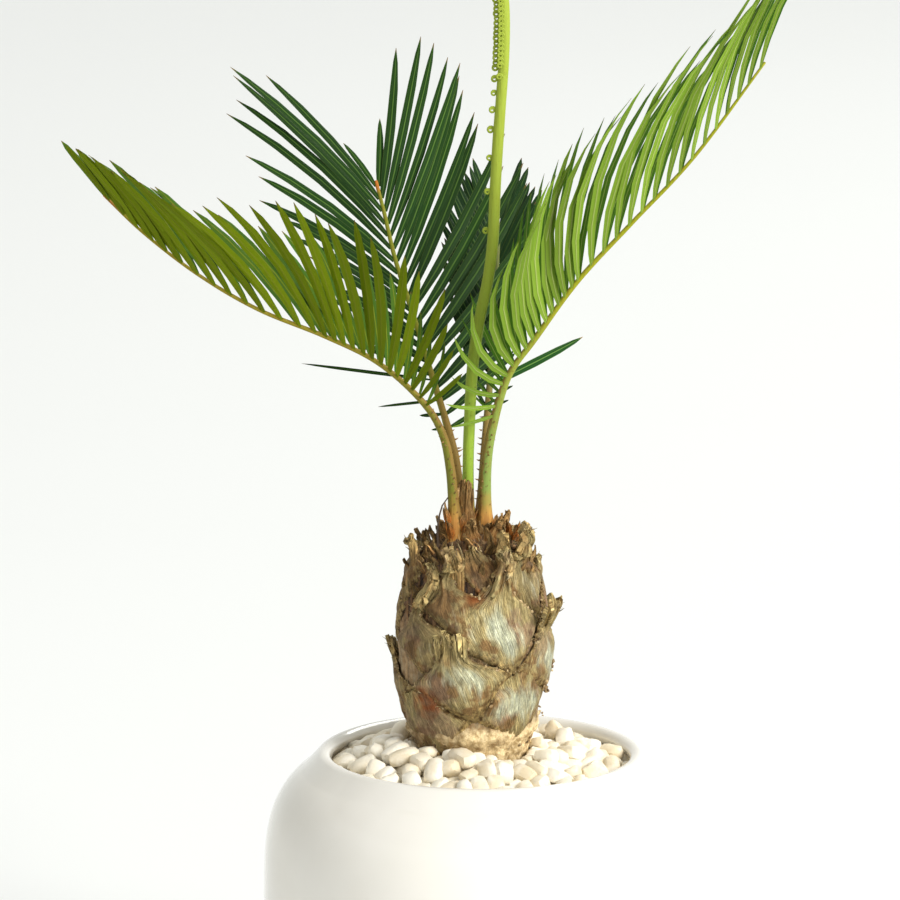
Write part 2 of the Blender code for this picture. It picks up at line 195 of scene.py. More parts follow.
# %% Round studio bowl
BOWL_FLOOR, BOWL_FILLET, BOWL_STEPS, BOWL_SIDES = 1.2, 4.0, 12, 96
deselect_all()
bpy.ops.mesh.primitive_circle_add(vertices=BOWL_SIDES, radius=BOWL_FLOOR, fill_type="NGON")
bowl = bpy.context.object
bpy.ops.object.mode_set(mode="EDIT")
bpy.ops.mesh.select_all(action="SELECT")
reach, height = BOWL_FLOOR, 0
for step in range(1, BOWL_STEPS + 1):
    turn = math.pi / 2 * step / BOWL_STEPS
    wider, higher = BOWL_FLOOR + BOWL_FILLET * math.sin(turn), BOWL_FILLET * (1 - math.cos(turn))
    bpy.ops.mesh.extrude_region_move(TRANSFORM_OT_translate={"value": (0, 0, higher - height)})
    bpy.ops.transform.resize(value=(wider / reach, wider / reach, 1))
    reach, height = wider, higher
bpy.ops.mesh.delete(type="ONLY_FACE")
bpy.ops.object.mode_set(mode="OBJECT")
print("bowl:", len(bowl.data.polygons), "faces")

# %% [markdown]
# ## Light
# A broad soft window on the right, a little in front of the plant, gives the bright side of the
# pot and the satin highlights on the scales. A weaker panel behind lets light come through the
# leaves, and the pale world fills the shadows. The panels themselves are kept out of view.

# %% Window, back panel and world
PANELS = {  # name: place, aim, size, power, colour
    "window": ((2.0, -1.5, 1.7), (0, 0, 0.16), (1.1, 1.4), 108, (1, 0.985, 0.95)),
    "back_panel": ((1.0, 2.2, 2.4), (0, 0, 0.24), (1.8, 1.4), 40, (0.98, 1, 0.96)),
}
WORLD_COLOUR, WORLD_STRENGTH = (0.985, 0.992, 1, 1), 0.46
for name, (place, aim, size, power, colour) in PANELS.items():
    deselect_all()
    bpy.ops.object.light_add(type="AREA", location=place)
    panel = bpy.context.object
    panel.name = name
    panel.rotation_euler = (Vector(aim) - Vector(place)).to_track_quat("-Z", "Y").to_euler()
    panel.data.shape = "RECTANGLE"
    panel.data.size, panel.data.size_y = size
    panel.data.energy = power
    panel.data.color = colour
    panel.visible_camera = False
studio = bpy.data.worlds.new("studio")
scene.world = studio
studio.use_nodes = True
sky = studio.node_tree.nodes["Background"].inputs
sky["Color"].default_value = WORLD_COLOUR
sky["Strength"].default_value = WORLD_STRENGTH
scene.view_settings.view_transform = "Standard"
scene.view_settings.exposure = 0.0

# %% [markdown]
# ## Material tools
# Every finish here is built from a few kinds of node. These short functions add one node each,
# wire its inputs, and hand back the output that the next node reads. An input may be a plain
# number or colour, or another node's output.

# %% Adding and wiring a node
def plug(tree, value, socket):
    """Wires an output into a socket, or sets the socket's plain value."""
    if isinstance(value, bpy.types.NodeSocket):
        tree.links.new(value, socket)
    elif hasattr(socket.default_value, "__len__") and len(socket.default_value) == 4:
        socket.default_value = (*value[:3], 1)
    else:
        socket.default_value = value


def node(tree, kind, inputs, output=0, **settings):
    """A new node with its settings and inputs. Hands back one of its outputs."""
    made = tree.nodes.new("ShaderNode" + kind)
    for label, value in settings.items():
        setattr(made, label, value)
    for label, value in inputs.items():
        plug(tree, value, made.inputs[label])
    return made.outputs[output]


print("node adds and wires a node")


# %% Nodes for sums
def maths(tree, operation, first, second=0.0):
    return node(tree, "Math", {0: first, 1: second}, operation=operation)


def times(tree, first, second):
    return maths(tree, "MULTIPLY", first, second)


def plus(tree, first, second):
    return maths(tree, "ADD", first, second)


def stretched(tree, vector, scale):
    return node(tree, "VectorMath", {0: vector, 1: scale}, operation="MULTIPLY")


print("sums: maths, times, plus, stretched")


# %% Nodes for patterns and colours
def clouds(tree, vector, scale, detail=3.0, rough=0.5):
    inputs = {"Vector": vector, "Scale": scale, "Detail": detail, "Roughness": rough}
    return node(tree, "TexNoise", inputs, "Fac")


def ranged(tree, value, low, high, start=0.0, end=1.0):
    """start up to low, end from high on, and a smooth step in between."""
    inputs = {0: value, 1: low, 2: high, 3: start, 4: end}
    return node(tree, "MapRange", inputs, interpolation_type="SMOOTHSTEP")


def blend(tree, share, first, second, way="MIX"):
    return node(tree, "Mix", {0: share, 6: first, 7: second}, 2, data_type="RGBA", blend_type=way)


def bumped(tree, height, depth, under=None):
    """A normal from a height, where depth is in metres, on top of the normal under it."""
    inputs = {"Strength": 1.0, "Distance": depth, "Height": height}
    return node(tree, "Bump", {**inputs, "Normal": under} if under else inputs)


print("patterns and colours: clouds, ranged, blend, bumped")


# %% Nodes that read the mesh
def attribute(tree, name):
    return node(tree, "Attribute", {}, "Fac", attribute_name=name)


def own_place(tree):
    return node(tree, "TexCoord", {}, "Object")


def own_map(tree):
    return node(tree, "TexCoord", {}, "UV")


def parts(tree, vector):
    """The x, y and z of a vector."""
    return node(tree, "SeparateXYZ", {0: vector}).node.outputs


print("readings: attribute, own_place, own_map, parts")


# %% Materials and node groups
def new_material(name, **plain):
    """A material with its Principled shader; plain gives values of the shader's own sockets."""
    made = bpy.data.materials.new(name)
    made.use_nodes = True
    shader = made.node_tree.nodes["Principled BSDF"]
    for socket, value in plain.items():
        shader.inputs[socket.replace("_", " ")].default_value = value
    return made, made.node_tree, shader.inputs


def new_group(name, inputs, outputs):
    """An empty node group. inputs maps each name to its kind, outputs too."""
    group = bpy.data.node_groups.new(name, "ShaderNodeTree")
    for way, sockets in (("INPUT", inputs), ("OUTPUT", outputs)):
        for label, kind in sockets.items():
            group.interface.new_socket(label, in_out=way, socket_type="NodeSocket" + kind)
    given = group.nodes.new("NodeGroupInput").outputs
    return group, given, group.nodes.new("NodeGroupOutput").inputs


def use_group(tree, group, **values):
    made = tree.nodes.new("ShaderNodeGroup")
    made.node_tree = group
    for label, value in values.items():
        plug(tree, value, made.inputs[label])
    return made.outputs


print("material tools ready")

# %% [markdown]
# ## Shared effects
# Three effects turn up on more than one finish, so each is a node group. Fibres are long streaks
# along one direction, with dark slits between them, for scales, flakes and bark. Patches are
# soft-edged spots, for stains, clouds and dust. Grit is a fine rough relief, for cork, soil and
# stone.

# %% Groups for fibres, patches and grit
FIBRES, given, out = new_group("fibres", {"Vector": "Vector", "Across": "Float", "Along": "Float"},
                               {"Streaks": "Float", "Slits": "Float"})
axes = node(FIBRES, "CombineXYZ", {0: given["Across"], 1: given["Along"], 2: 1.0})
threads = stretched(FIBRES, given["Vector"], axes)
plug(FIBRES, ranged(FIBRES, clouds(FIBRES, threads, 1.0, 2, 0.6), 0.28, 0.72), out["Streaks"])
plug(FIBRES, ranged(FIBRES, clouds(FIBRES, threads, 0.45, 2, 0.5), 0.36, 0.46, 1, 0), out["Slits"])

PATCHES, given, out = new_group(
    "patches", {"Vector": "Vector", "Scale": "Float", "Level": "Float", "Softness": "Float"},
    {"Mask": "Float"})
spots = clouds(PATCHES, given["Vector"], given["Scale"], 4, 0.6)
lower = maths(PATCHES, "SUBTRACT", given["Level"], given["Softness"])
upper = plus(PATCHES, given["Level"], given["Softness"])
plug(PATCHES, ranged(PATCHES, spots, lower, upper), out["Mask"])

GRIT, given, out = new_group("grit", {"Vector": "Vector", "Scale": "Float"}, {"Height": "Float"})
fine = clouds(GRIT, given["Vector"], given["Scale"], 5, 0.65)
coarse = clouds(GRIT, given["Vector"], times(GRIT, given["Scale"], 0.3), 3, 0.5)
plug(GRIT, plus(GRIT, times(GRIT, fine, 0.6), times(GRIT, coarse, 0.4)), out["Height"])
print("groups:", [group.name for group in (FIBRES, PATCHES, GRIT)])


# %% Short ways to use them
def fibres(tree, vector, across, along):
    return use_group(tree, FIBRES, Vector=vector, Across=across, Along=along)


def patches(tree, place, scale, level, softness, strength=1.0):
    """The mask of soft spots; level says how few they are."""
    made = use_group(tree, PATCHES, Vector=place, Scale=scale, Level=level, Softness=softness)
    return made["Mask"] if strength == 1 else times(tree, made["Mask"], strength)


def grit(tree, place, scale):
    return use_group(tree, GRIT, Vector=place, Scale=scale)["Height"]


print("short ways to use them: fibres, patches, grit")

# %% [markdown]
# ## Glaze and clay
# The pot's glaze is glossy and nearly white, with a faint warm cloud in it and the slight ripple
# that a fired glaze has. Its foot is bare clay, paler on the grains.

# %% Finishes for the pot
glaze, tree, shader = new_material("glaze", Roughness=0.13, Coat_Weight=0.6, Coat_Roughness=0.03)
place = own_place(tree)
clouded = patches(tree, place, 14.0, 0.5, 0.25)
plug(tree, blend(tree, clouded, (0.79, 0.765, 0.71), (0.73, 0.695, 0.62)), shader["Base Color"])
plug(tree, bumped(tree, clouds(tree, place, 60.0, 2, 0.4), 0.00025), shader["Normal"])

bisque, tree, shader = new_material("bisque", Roughness=0.85)
grains = grit(tree, own_place(tree), 1500.0)
plug(tree, blend(tree, grains, (0.5, 0.44, 0.36), (0.78, 0.72, 0.62)), shader["Base Color"])
plug(tree, bumped(tree, grains, 0.0003), shader["Normal"])
print("pot finishes:", glaze.name, bisque.name)

# %% [markdown]
# ## Soil and pebbles
# The soil is dark and crumbly, with a few pale flecks. The pebbles are cream, each a little
# different, so the finish reads a value that each pebble carries. Soft pale clouds and a little
# brown dust lie over that, and a fine grit keeps the stone satin instead of glossy.

# %% Finishes for the filling
soil_finish, tree, shader = new_material("soil", Roughness=0.95)
place = own_place(tree)
grains = grit(tree, place, 450.0)
earth = blend(tree, grains, (0.02, 0.012, 0.007), (0.11, 0.07, 0.042))
plug(tree, blend(tree, patches(tree, place, 700.0, 0.66, 0.03), earth, (0.4, 0.34, 0.26)),
     shader["Base Color"])
plug(tree, bumped(tree, grains, 0.0025), shader["Normal"])

pebble_finish, tree, shader = new_material("pebble", Roughness=0.5)
place = own_place(tree)
stone = blend(tree, attribute(tree, "tone"), (0.72, 0.61, 0.42), (0.90, 0.845, 0.71))
stone = blend(tree, patches(tree, place, 160.0, 0.56, 0.14, 0.6), stone, (0.95, 0.92, 0.84))
stone = blend(tree, patches(tree, place, 900.0, 0.68, 0.05, 0.45), stone, (0.55, 0.42, 0.26))
plug(tree, stone, shader["Base Color"])
grains = grit(tree, place, 1300.0)
plug(tree, bumped(tree, grains, 0.00022), shader["Normal"])
plug(tree, ranged(tree, grains, 0.3, 0.7, 0.42, 0.6), shader["Roughness"])
print("filling finishes:", soil_finish.name, pebble_finish.name)

# %% [markdown]
# ## The studio's paper
# The bowl is matt pale paper that gives off a little light of its own, so that its far wall stays
# as pale as its floor. It isn't part of the object.

# %% Finish the bowl
PAPER, PAPER_GLOW, GLOW_STRENGTH = (0.42, 0.425, 0.415, 1), (0.985, 1, 0.98, 1), 0.42
floor_finish, tree, shader = new_material(
    "studio_paper", Roughness=0.9, Base_Color=PAPER, Emission_Color=PAPER_GLOW,
    Emission_Strength=GLOW_STRENGTH)
bowl.data.materials.append(floor_finish)
make_active(bowl)
bpy.ops.object.shade_smooth()
print("finishes so far:", sorted(made.name for made in bpy.data.materials if made.use_nodes))

# %% [markdown]
# ## The pot
# The pot is an egg with its top cut off: a superellipse above the waist and a rounder one below
# it, a rolled lip, and a plain inner wall. A turned pot is best made as the potter makes it, from
# one profile spun round the axis. The profile is drawn once, spun in 144 steps, and closed.

# %% The pot's profile, in mm
POT_HEIGHT = 105
BELLY, WAIST = 63.2, 59.0
SHOULDER, TAPER = 48.5, 67.5
MOUTH, LIP = 43.2, 2.4
WALL, FLOOR = 4.0, 3.0
SHOULDER_POWER, TAPER_POWER = 3.7, 2.4


def egg_side(wall, floor, top, bottom, count):
    """Points (radius, height) down one side, that far inside the egg, between two angles."""
    points = []
    for k in range(count + 1):
        angle = math.radians(top + (bottom - top) * k / count)
        power, reach = TAPER_POWER, TAPER - floor
        if angle > 0:
            power, reach = SHOULDER_POWER, SHOULDER - wall
        rise = reach * abs(math.sin(angle)) ** (2 / power)
        points.append(((BELLY - wall) * math.cos(angle) ** (2 / power),
                       WAIST + math.copysign(rise, angle)))
    return points


inside = egg_side(WALL, FLOOR, 50, -56, 40)
outside = egg_side(0, 0, 47, -57.4, 56)
lip = [(MOUTH + LIP - LIP * math.cos(turn), POT_HEIGHT - LIP + LIP * math.sin(turn))
       for turn in np.linspace(0, math.radians(135), 10)]
foot = outside[-1][0]
underneath = [(foot - 0.8, 0.15), (foot - 1.6, 0), (foot - 4.6, 0), (foot - 5.4, 0.5),
              (foot - 5.9, 1.4), (foot - 8, 1.8), (0, 2.0)]
profile = [(0, 6)] + inside[::-1] + lip + outside + underneath
print(len(profile), "points, foot radius", round(foot, 1), "mm")

# %% Spin it
POT_STEPS = 144
BARE_CLAY = 0.3


def spun(name, points, steps):
    """A closed solid of revolution from (radius, height) points in mm."""
    mesh = bpy.data.meshes.new(name)
    mesh.from_pydata([(r * MM, 0, z * MM) for r, z in points],
                     [(k, k + 1) for k in range(len(points) - 1)], [])
    piece = add_piece(name, mesh)
    bpy.ops.object.mode_set(mode="EDIT")
    bpy.ops.mesh.select_all(action="SELECT")
    bpy.ops.mesh.spin(steps=steps, angle=2 * math.pi, center=(0, 0, 0), axis=(0, 0, 1))
    bpy.ops.mesh.select_all(action="SELECT")
    bpy.ops.mesh.remove_doubles(threshold=0.01 * MM)
    bpy.ops.mesh.normals_make_consistent(inside=False)
    bpy.ops.object.mode_set(mode="OBJECT")
    return piece


pot = spun("pot_body", profile, POT_STEPS)
for material in (glaze, bisque):
    pot.data.materials.append(material)
for face in pot.data.polygons:
    face.material_index = int(face.center.z < BARE_CLAY * MM)
finish_piece(pot, "pot_body", [], ["pot"], sharp_from=60)

# %% [markdown]
# ## The soil
# Hardly any soil shows between the pebbles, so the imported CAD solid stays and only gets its
# crumbly finish.

# %% Soil finish
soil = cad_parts["soil"]
soil.data.materials.clear()
soil.data.materials.append(soil_finish)
print("soil keeps its CAD mesh:", len(soil.data.polygons), "faces")

# %% [markdown]
# ## Pebbles
# A few hundred cream pebbles fill the mouth, a little more of them on the wide side of the trunk.
# A pebble is a rounded block, so each of four kinds starts as a cube, is cut twice each way,
# pulled towards a sphere, and then flattened and bent a little.

# %% Four kinds of pebble
PEBBLE_KINDS = ((8.4, 5.0, 4.1, 0.14), (6.9, 5.0, 3.9, 0.05), (5.7, 4.7, 4.3, 0.02),
                (8.9, 4.4, 3.8, 0.2))  # length, width, height in mm, and bend
ROUNDNESS = 0.66
LUMPINESS = 0.14


def model_pebble(kind, length, width, height, bend):
    deselect_all()
    bpy.ops.mesh.primitive_cube_add(size=1)
    pebble = bpy.context.object
    bpy.ops.object.mode_set(mode="EDIT")
    bpy.ops.mesh.subdivide(number_cuts=2)
    bpy.ops.transform.tosphere(value=ROUNDNESS)
    bpy.ops.object.mode_set(mode="OBJECT")
    for vert in pebble.data.vertices:
        vert.co *= 1 + LUMPINESS * lumps(*vert.co * 2.3, Vector((kind * 9.1, 0, 0)))
        vert.co.z += bend * (0.25 - vert.co.x ** 2) * 1.6
        vert.co = Vector((vert.co.x * length, vert.co.y * width, vert.co.z * height)) * MM
    return pebble


kinds = [model_pebble(kind, *size) for kind, size in enumerate(PEBBLE_KINDS)]
print("pebble kinds:", [tuple(round(x / MM, 1) for x in pebble.dimensions) for pebble in kinds])

# %% [markdown]
# ## Letting the pebbles settle
# Real pebbles are poured in and come to rest against each other, the trunk, the pot and a low
# mound of soil. Blender's own rigid bodies end up a little different on every run, so a small
# solver does it here, always with the same result. Each pebble is a rod of three balls. All the
# rods sink step by step, balls that overlap are moved apart, and a small grip stops slow sliding.
# The balls are narrower than the pebbles, so neighbours sink about a millimetre into each other.

# %% The space that the pebbles fill, in mm
MOUND = [(0, 105), (17, 103.6), (21, 102.2), (26, 99.6), (32, 96.6), (39, 94), (49, 92)]
POT_INSIDE = [(91, 54), (96, 50.5), (100.5, 46), (103, 43.2)]
STEM_OUTSIDE = [(107, 17.2), (113, 19.5), (118, 21.5)]
TRUNK_X = -2.4
STEM_CENTRE = np.array((TRUNK_X, 0))


def along_knots(knots, places):
    return np.interp(places, [knot[0] for knot in knots], [knot[1] for knot in knots])


def hold_inside(balls, radius):
    """Moves balls out of the pot's wall, the trunk and the mound."""
    far = np.linalg.norm(balls[:, :2], axis=1)
    reach = np.minimum(far, along_knots(POT_INSIDE, balls[:, 2]) - radius)
    balls[:, :2] *= (reach / far)[:, None]
    out = balls[:, :2] - STEM_CENTRE
    far = np.linalg.norm(out, axis=1)
    reach = np.maximum(far, along_knots(STEM_OUTSIDE, balls[:, 2]) + radius)
    balls[:, :2] = STEM_CENTRE + out * (reach / far)[:, None]
    balls[:, 2] = np.maximum(balls[:, 2], along_knots(MOUND, reach) + radius)


print("the mound is", along_knots(MOUND, STEM_OUTSIDE[0][1]), "mm high at the trunk")


# %% Balls that overlap
def rods_as_balls(centres, axes, halves):
    """The middle ball of each rod, and one ball at each end."""
    offsets = axes[:, None] * halves[:, None, None] * np.array((-1, 0, 1))[None, :, None]
    return (centres[:, None] + offsets).reshape(-1, 3)


def near_pairs(balls, radius, margin):
    """Pairs of balls of different rods that may touch soon."""
    owner = np.arange(len(balls)) // 3
    gaps = np.linalg.norm(balls[:, None] - balls[None], axis=2)
    near = gaps < radius[:, None] + radius[None] + margin
    return np.nonzero(near & (owner[:, None] < owner[None]))


PUSH = 1.4


def part_balls(balls, radius, first, second):
    """Each ball moves by the mean of what its overlaps ask for, and a little more."""
    gap = balls[second] - balls[first]
    far = np.linalg.norm(gap, axis=1) + 1e-6
    over = np.maximum(0, radius[first] + radius[second] - far)
    push = gap * (0.5 * over / far)[:, None]
    moves = np.zeros_like(balls)
    np.add.at(moves, first, -push)
    np.add.at(moves, second, push)
    touched = np.concatenate((first[over > 0], second[over > 0]))
    touching = np.bincount(touched, minlength=len(balls))
    balls += PUSH * moves / np.maximum(1, touching)[:, None]


print("balls are pushed apart by", PUSH, "times their mean overlap")


# %% Settling
SEARCH_EVERY = 6
ROUNDS = 3


def settle(centres, axes, halves, radii, steps, sink, grip):
    """Rods sink by sink (mm) in each step, and slide only as far as it is more than the grip."""
    radius = np.repeat(radii, 3)
    for step in range(steps):
        start = centres.copy()
        centres[:, 2] -= sink
        if step % SEARCH_EVERY == 0:
            balls = rods_as_balls(centres, axes, halves)
            first, second = near_pairs(balls, radius, SEARCH_EVERY * sink + 1.5)
        for _ in range(ROUNDS):
            balls = rods_as_balls(centres, axes, halves)
            part_balls(balls, radius, first, second)
            hold_inside(balls, radius)
            ends = balls.reshape(-1, 3, 3)
            centres, axes = ends.mean(axis=1), ends[:, 2] - ends[:, 0]
            axes /= np.linalg.norm(axes, axis=1)[:, None]
        slide = centres[:, :2] - start[:, :2]
        held = np.clip(1 - grip / (np.linalg.norm(slide, axis=1) + 1e-9), 0, 1)
        centres[:, :2] = start[:, :2] + slide * held[:, None]
    return centres, axes


print("near pairs are searched every", SEARCH_EVERY, "steps")


# %% Pour the pebbles in rings
PEBBLE_RINGS = [(26, 17), (32, 20), (38, 25)]  # distance from the pot's axis, number of pebbles
PEBBLE_LAYERS, LAYER_HEIGHT, LOWEST = 7, 9, 109
CROWDED_SIDE = 0.13
rnd = random.Random(5)
centres, axes, sorts, sizes, tones, tilts = [], [], [], [], [], []
spots = [(layer, far, 2 * math.pi * k / count) for layer in range(PEBBLE_LAYERS)
         for far, count in PEBBLE_RINGS for k in range(count)]
for layer, far, turn in spots:
    turn += 0.2 * layer + 0.02 * far
    turn -= CROWDED_SIDE * math.sin(turn)
    height = LOWEST + LAYER_HEIGHT * layer + rnd.uniform(-1, 1)
    centres.append((far * math.cos(turn), far * math.sin(turn), height))
    axes.append(Vector((rnd.gauss(0, 1), rnd.gauss(0, 1), rnd.gauss(0, 0.6))).normalized())
    sorts.append(rnd.choice((0, 0, 1, 1, 2, 3)))
    sizes.append(rnd.uniform(0.72, 1.0))
    tones.append(rnd.random())
    tilts.append(rnd.uniform(-0.5, 0.5))
print(len(spots), "pebbles poured")

# %% Let them settle
STAGES = ((190, 0.4, 0.1), (60, 0.15, 0.04), (25, 0.0, 0.0))  # steps, sink and grip in mm
centres, axes, sizes = np.array(centres), np.array(axes), np.array(sizes)
shapes = np.array(PEBBLE_KINDS)[sorts]
radii = sizes * (shapes[:, 1] + shapes[:, 2]) / 4
halves = sizes * shapes[:, 0] / 2 - radii
for steps, sink, grip in STAGES:
    centres, axes = settle(centres, axes, halves, radii, steps, sink, grip)
print("pebbles rest from", centres[:, 2].min().round(1), "to", centres[:, 2].max().round(1), "mm")

# %% One piece of the mound and all the pebbles that lie in the pot
TOO_HIGH, NEAR_RIM, TOO_HIGH_AT_RIM = 113, 31, 104.4
ground = spun("mound", MOUND, 48)
ground.location.x = TRUNK_X * MM
write_place(ground)
for vert in ground.data.vertices:
    vert.co.z += (0.8 * noise.noise(vert.co / MM * 0.22) - 0.2) * MM
ground.data.materials.append(soil_finish)
bed = [ground]
for centre, axis, sort, size, tone, tilt in zip(centres, axes, sorts, sizes, tones, tilts):
    near_rim = math.hypot(centre[0], centre[1]) > NEAR_RIM
    if centre[2] > TOO_HIGH or (near_rim and centre[2] > TOO_HIGH_AT_RIM):
        continue
    pebble = own_copy(kinds[sort])
    set_values(pebble, "tone", [tone] * len(pebble.data.vertices))
    pebble.data.materials.append(pebble_finish)
    long_way = Vector(axis)
    side = Vector((0, 0, 1)).cross(long_way).normalized()
    side.rotate(Matrix.Rotation(tilt, 3, long_way))
    turned = Matrix((long_way, side, long_way.cross(side))).transposed().to_4x4()
    pebble.matrix_world = Matrix.Translation(Vector(centre) * MM) @ turned @ Matrix.Scale(size, 4)
    bed.append(pebble)
finish_piece(join_copies(bed, kinds), "pebbles", [], ["pebble_bed"], sharp_from=50)
print(len(bed) - 1, "pebbles kept")

# %% [markdown]
# ## Bark, scales and dry fibre
# The trunk is wrapped in the bases of old leaves. Their skin is olive and brown, with broad satin
# silver streaks that run to the torn end, partly a painted highlight, and ochre dirt in the folds.
# The deepest seams are painted shade, and the dark stains on the upper and left scales are partly
# painted shade too. Each scale's mesh carries values that the finish reads: how high the spot
# stands, how torn, corky, rusty and silvery it is, and how much stain it has. Its map runs across
# and along the scale, in centimetres, so the streaks follow it.

# %% Layers of the scale skin
# The seam colour is painted shade, for the deepest seams between the scales.
BLUSH, PAINTED_SEAM_SHADE, SLIT = (0.42, 0.26, 0.18), (0.022, 0.012, 0.006), (0.035, 0.022, 0.012)
# Silver skin colour, brightened into a painted highlight where the plans put it.
SILVER_AND_HIGHLIGHT = (0.58, 0.57, 0.33), (0.93, 0.95, 0.72)
# Earthy stain colours; on the most darkly stained scales they are partly painted shade.
STAIN_AND_SHADE = (0.085, 0.032, 0.01), (0.50, 0.26, 0.09)
DIRT = (0.16, 0.085, 0.026), (0.70, 0.50, 0.20)
BARE_CORK = (0.38, 0.25, 0.10), (0.93, 0.75, 0.43)


def living_skin(tree, place, thread, broad, shine, khaki, olive, brown):
    """Khaki streaks on olive, brown and reddish patches, silver streaks with a painted highlight,
    and earthy stains with painted shade.
    """
    skin = blend(tree, thread["Streaks"], olive, khaki)
    skin = blend(tree, patches(tree, place, 125.0, 0.53, 0.045, 0.8), skin, brown)
    skin = blend(tree, patches(tree, place, 82.0, 0.57, 0.05, 0.5), skin, BLUSH)
    skin = blend(tree, shine, skin, blend(tree, thread["Streaks"], *SILVER_AND_HIGHLIGHT))
    stain_and_shade_colour = blend(tree, ranged(tree, broad, 0.35, 0.65), *STAIN_AND_SHADE)
    # The stain is partly painted shade, on the dark upper and left scales.
    return blend(tree, times(tree, attribute(tree, "stain_and_shade"), 0.8), skin, stain_and_shade_colour)


def weathered_skin(tree, place, thread, skin, dusty, straw, rusty):
    """Dry torn ends with dark slits, dirt, bare cork, rust, and painted shade in the seams over
    the skin.
    """
    torn = attribute(tree, "torn")
    skin = blend(tree, torn, skin, blend(tree, thread["Streaks"], (0.26, 0.165, 0.055), straw))
    slit = times(tree, thread["Slits"], ranged(tree, torn, 0.0, 1.0, 0.1, 0.75))
    skin = blend(tree, slit, skin, SLIT)
    speck = patches(tree, place, 620.0, 0.5, 0.16)
    skin = blend(tree, ranged(tree, dusty, 0.02, 0.3, 0.95, 0), skin, blend(tree, speck, *DIRT))
    skin = blend(tree, attribute(tree, "cork"), skin, blend(tree, speck, *BARE_CORK))
    skin = blend(tree, times(tree, attribute(tree, "rust"), 0.85), skin, rusty)
    # Painted shade: the lowest spots, down in the seams between the scales, turn near-black.
    return blend(tree, ranged(tree, attribute(tree, "crest"), 0.0, 0.2, 0.97, 0), skin, PAINTED_SEAM_SHADE)


print("dirt runs from", DIRT[0], "to", DIRT[1])


# %% Scale skin
def scale_skin(name, khaki, olive, brown, straw, rusty):
    material, tree, shader = new_material(name, Specular_IOR_Level=0.18)
    place, along = own_place(tree), own_map(tree)
    thread, fine = fibres(tree, along, 48.0, 0.9), fibres(tree, along, 95.0, 3.0)
    broad = clouds(tree, stretched(tree, along, (3.4, 1.1, 1)), 1.0, 3, 0.6)
    # Painted highlight, in part: the skin turns silver, and smoother, where the plans put their
    # silver spots.
    shine = plus(tree, times(tree, attribute(tree, "silver_and_highlight"), 0.62), broad)
    shine = ranged(tree, shine, 0.66, 1.06)
    worn = times(tree, clouds(tree, place, 240.0, 4, 0.7), 0.8)
    dusty = maths(tree, "SUBTRACT", attribute(tree, "crest"), worn)
    skin = living_skin(tree, place, thread, broad, shine, khaki, olive, brown)
    skin = weathered_skin(tree, place, thread, skin, dusty, straw, rusty)
    mottle = clouds(tree, stretched(tree, place, (1, 1, 0.4)), 620.0, 4, 0.7)
    shade = times(tree, plus(tree, 0.55, times(tree, fine["Streaks"], 0.75)),
                  ranged(tree, mottle, 0.3, 0.7, 0.62, 1.3))
    plug(tree, blend(tree, 1.0, skin, shade, "MULTIPLY"), shader["Base Color"])
    plug(tree, ranged(tree, shine, 0.0, 1.0, 0.66, 0.36), shader["Roughness"])
    coarse = plus(tree, attribute(tree, "cork"), ranged(tree, dusty, 0.02, 0.36, 1, 0))
    depth = plus(tree, 0.0002, times(tree, coarse, 0.0011))
    rough = bumped(tree, grit(tree, place, 1200.0), depth)
    relief = plus(tree, fine["Streaks"], times(tree, thread["Streaks"], 1.8))
    plug(tree, bumped(tree, relief, 0.00024, rough), shader["Normal"])
    return material


scale_finish = scale_skin("leaf_base_skin", (0.68, 0.55, 0.26), (0.36, 0.265, 0.10),
                          (0.29, 0.145, 0.05), (0.98, 0.80, 0.35), (0.40, 0.10, 0.018))
bud_finish = scale_skin("bud_skin", (0.74, 0.38, 0.12), (0.30, 0.115, 0.028),
                        (0.13, 0.05, 0.018), (0.88, 0.62, 0.25), (0.74, 0.25, 0.045))
print("scale finishes:", scale_finish.name, bud_finish.name)

# %% Bark and loose fibre
bark_finish, tree, shader = new_material("bark", Roughness=0.85)
place, corky = own_place(tree), attribute(tree, "cork")
speck = patches(tree, place, 560.0, 0.5, 0.2)
cork_colour = blend(tree, speck, (0.38, 0.25, 0.10), (0.95, 0.76, 0.44))
stain = patches(tree, place, 120.0, 0.56, 0.1, 0.55)
cork_colour = blend(tree, stain, cork_colour, (0.17, 0.095, 0.032))
shred = fibres(tree, stretched(tree, place, (100, 100, 30)), 9.0, 4.0)["Streaks"]
dark = blend(tree, shred, (0.022, 0.011, 0.006), (0.27, 0.14, 0.055))
plug(tree, blend(tree, corky, dark, cork_colour), shader["Base Color"])
shreds = times(tree, shred, ranged(tree, corky, 0.0, 0.5, 1, 0))
grains = bumped(tree, grit(tree, place, 700.0), 0.0012)
plug(tree, bumped(tree, shreds, 0.0006, grains), shader["Normal"])

fibre_finish, tree, shader = new_material("dry_fibre", Roughness=0.7)
streak = clouds(tree, stretched(tree, own_place(tree), (1, 1, 0.2)), 900.0, 3)
straw = blend(tree, attribute(tree, "tone"), (0.04, 0.022, 0.01), (0.78, 0.60, 0.28))
plug(tree, blend(tree, ranged(tree, streak, 0.35, 0.65, 0, 0.5), straw, (0.07, 0.04, 0.018)),
     shader["Base Color"])
plug(tree, bumped(tree, streak, 0.0002), shader["Normal"])
print("bark finishes:", bark_finish.name, fibre_finish.name)

# %% [markdown]
# ## The trunk
# Under the scales there is a bulb of cork and dirt. It shows as a sandy collar above the pebbles,
# as the dirt that fills the seams between the scales, and as dark shredded bark between the torn
# ends and on the crown. The collar shows less cork towards its left side, which is painted shade.
# It is spun from the CAD outline and then roughened with noise.

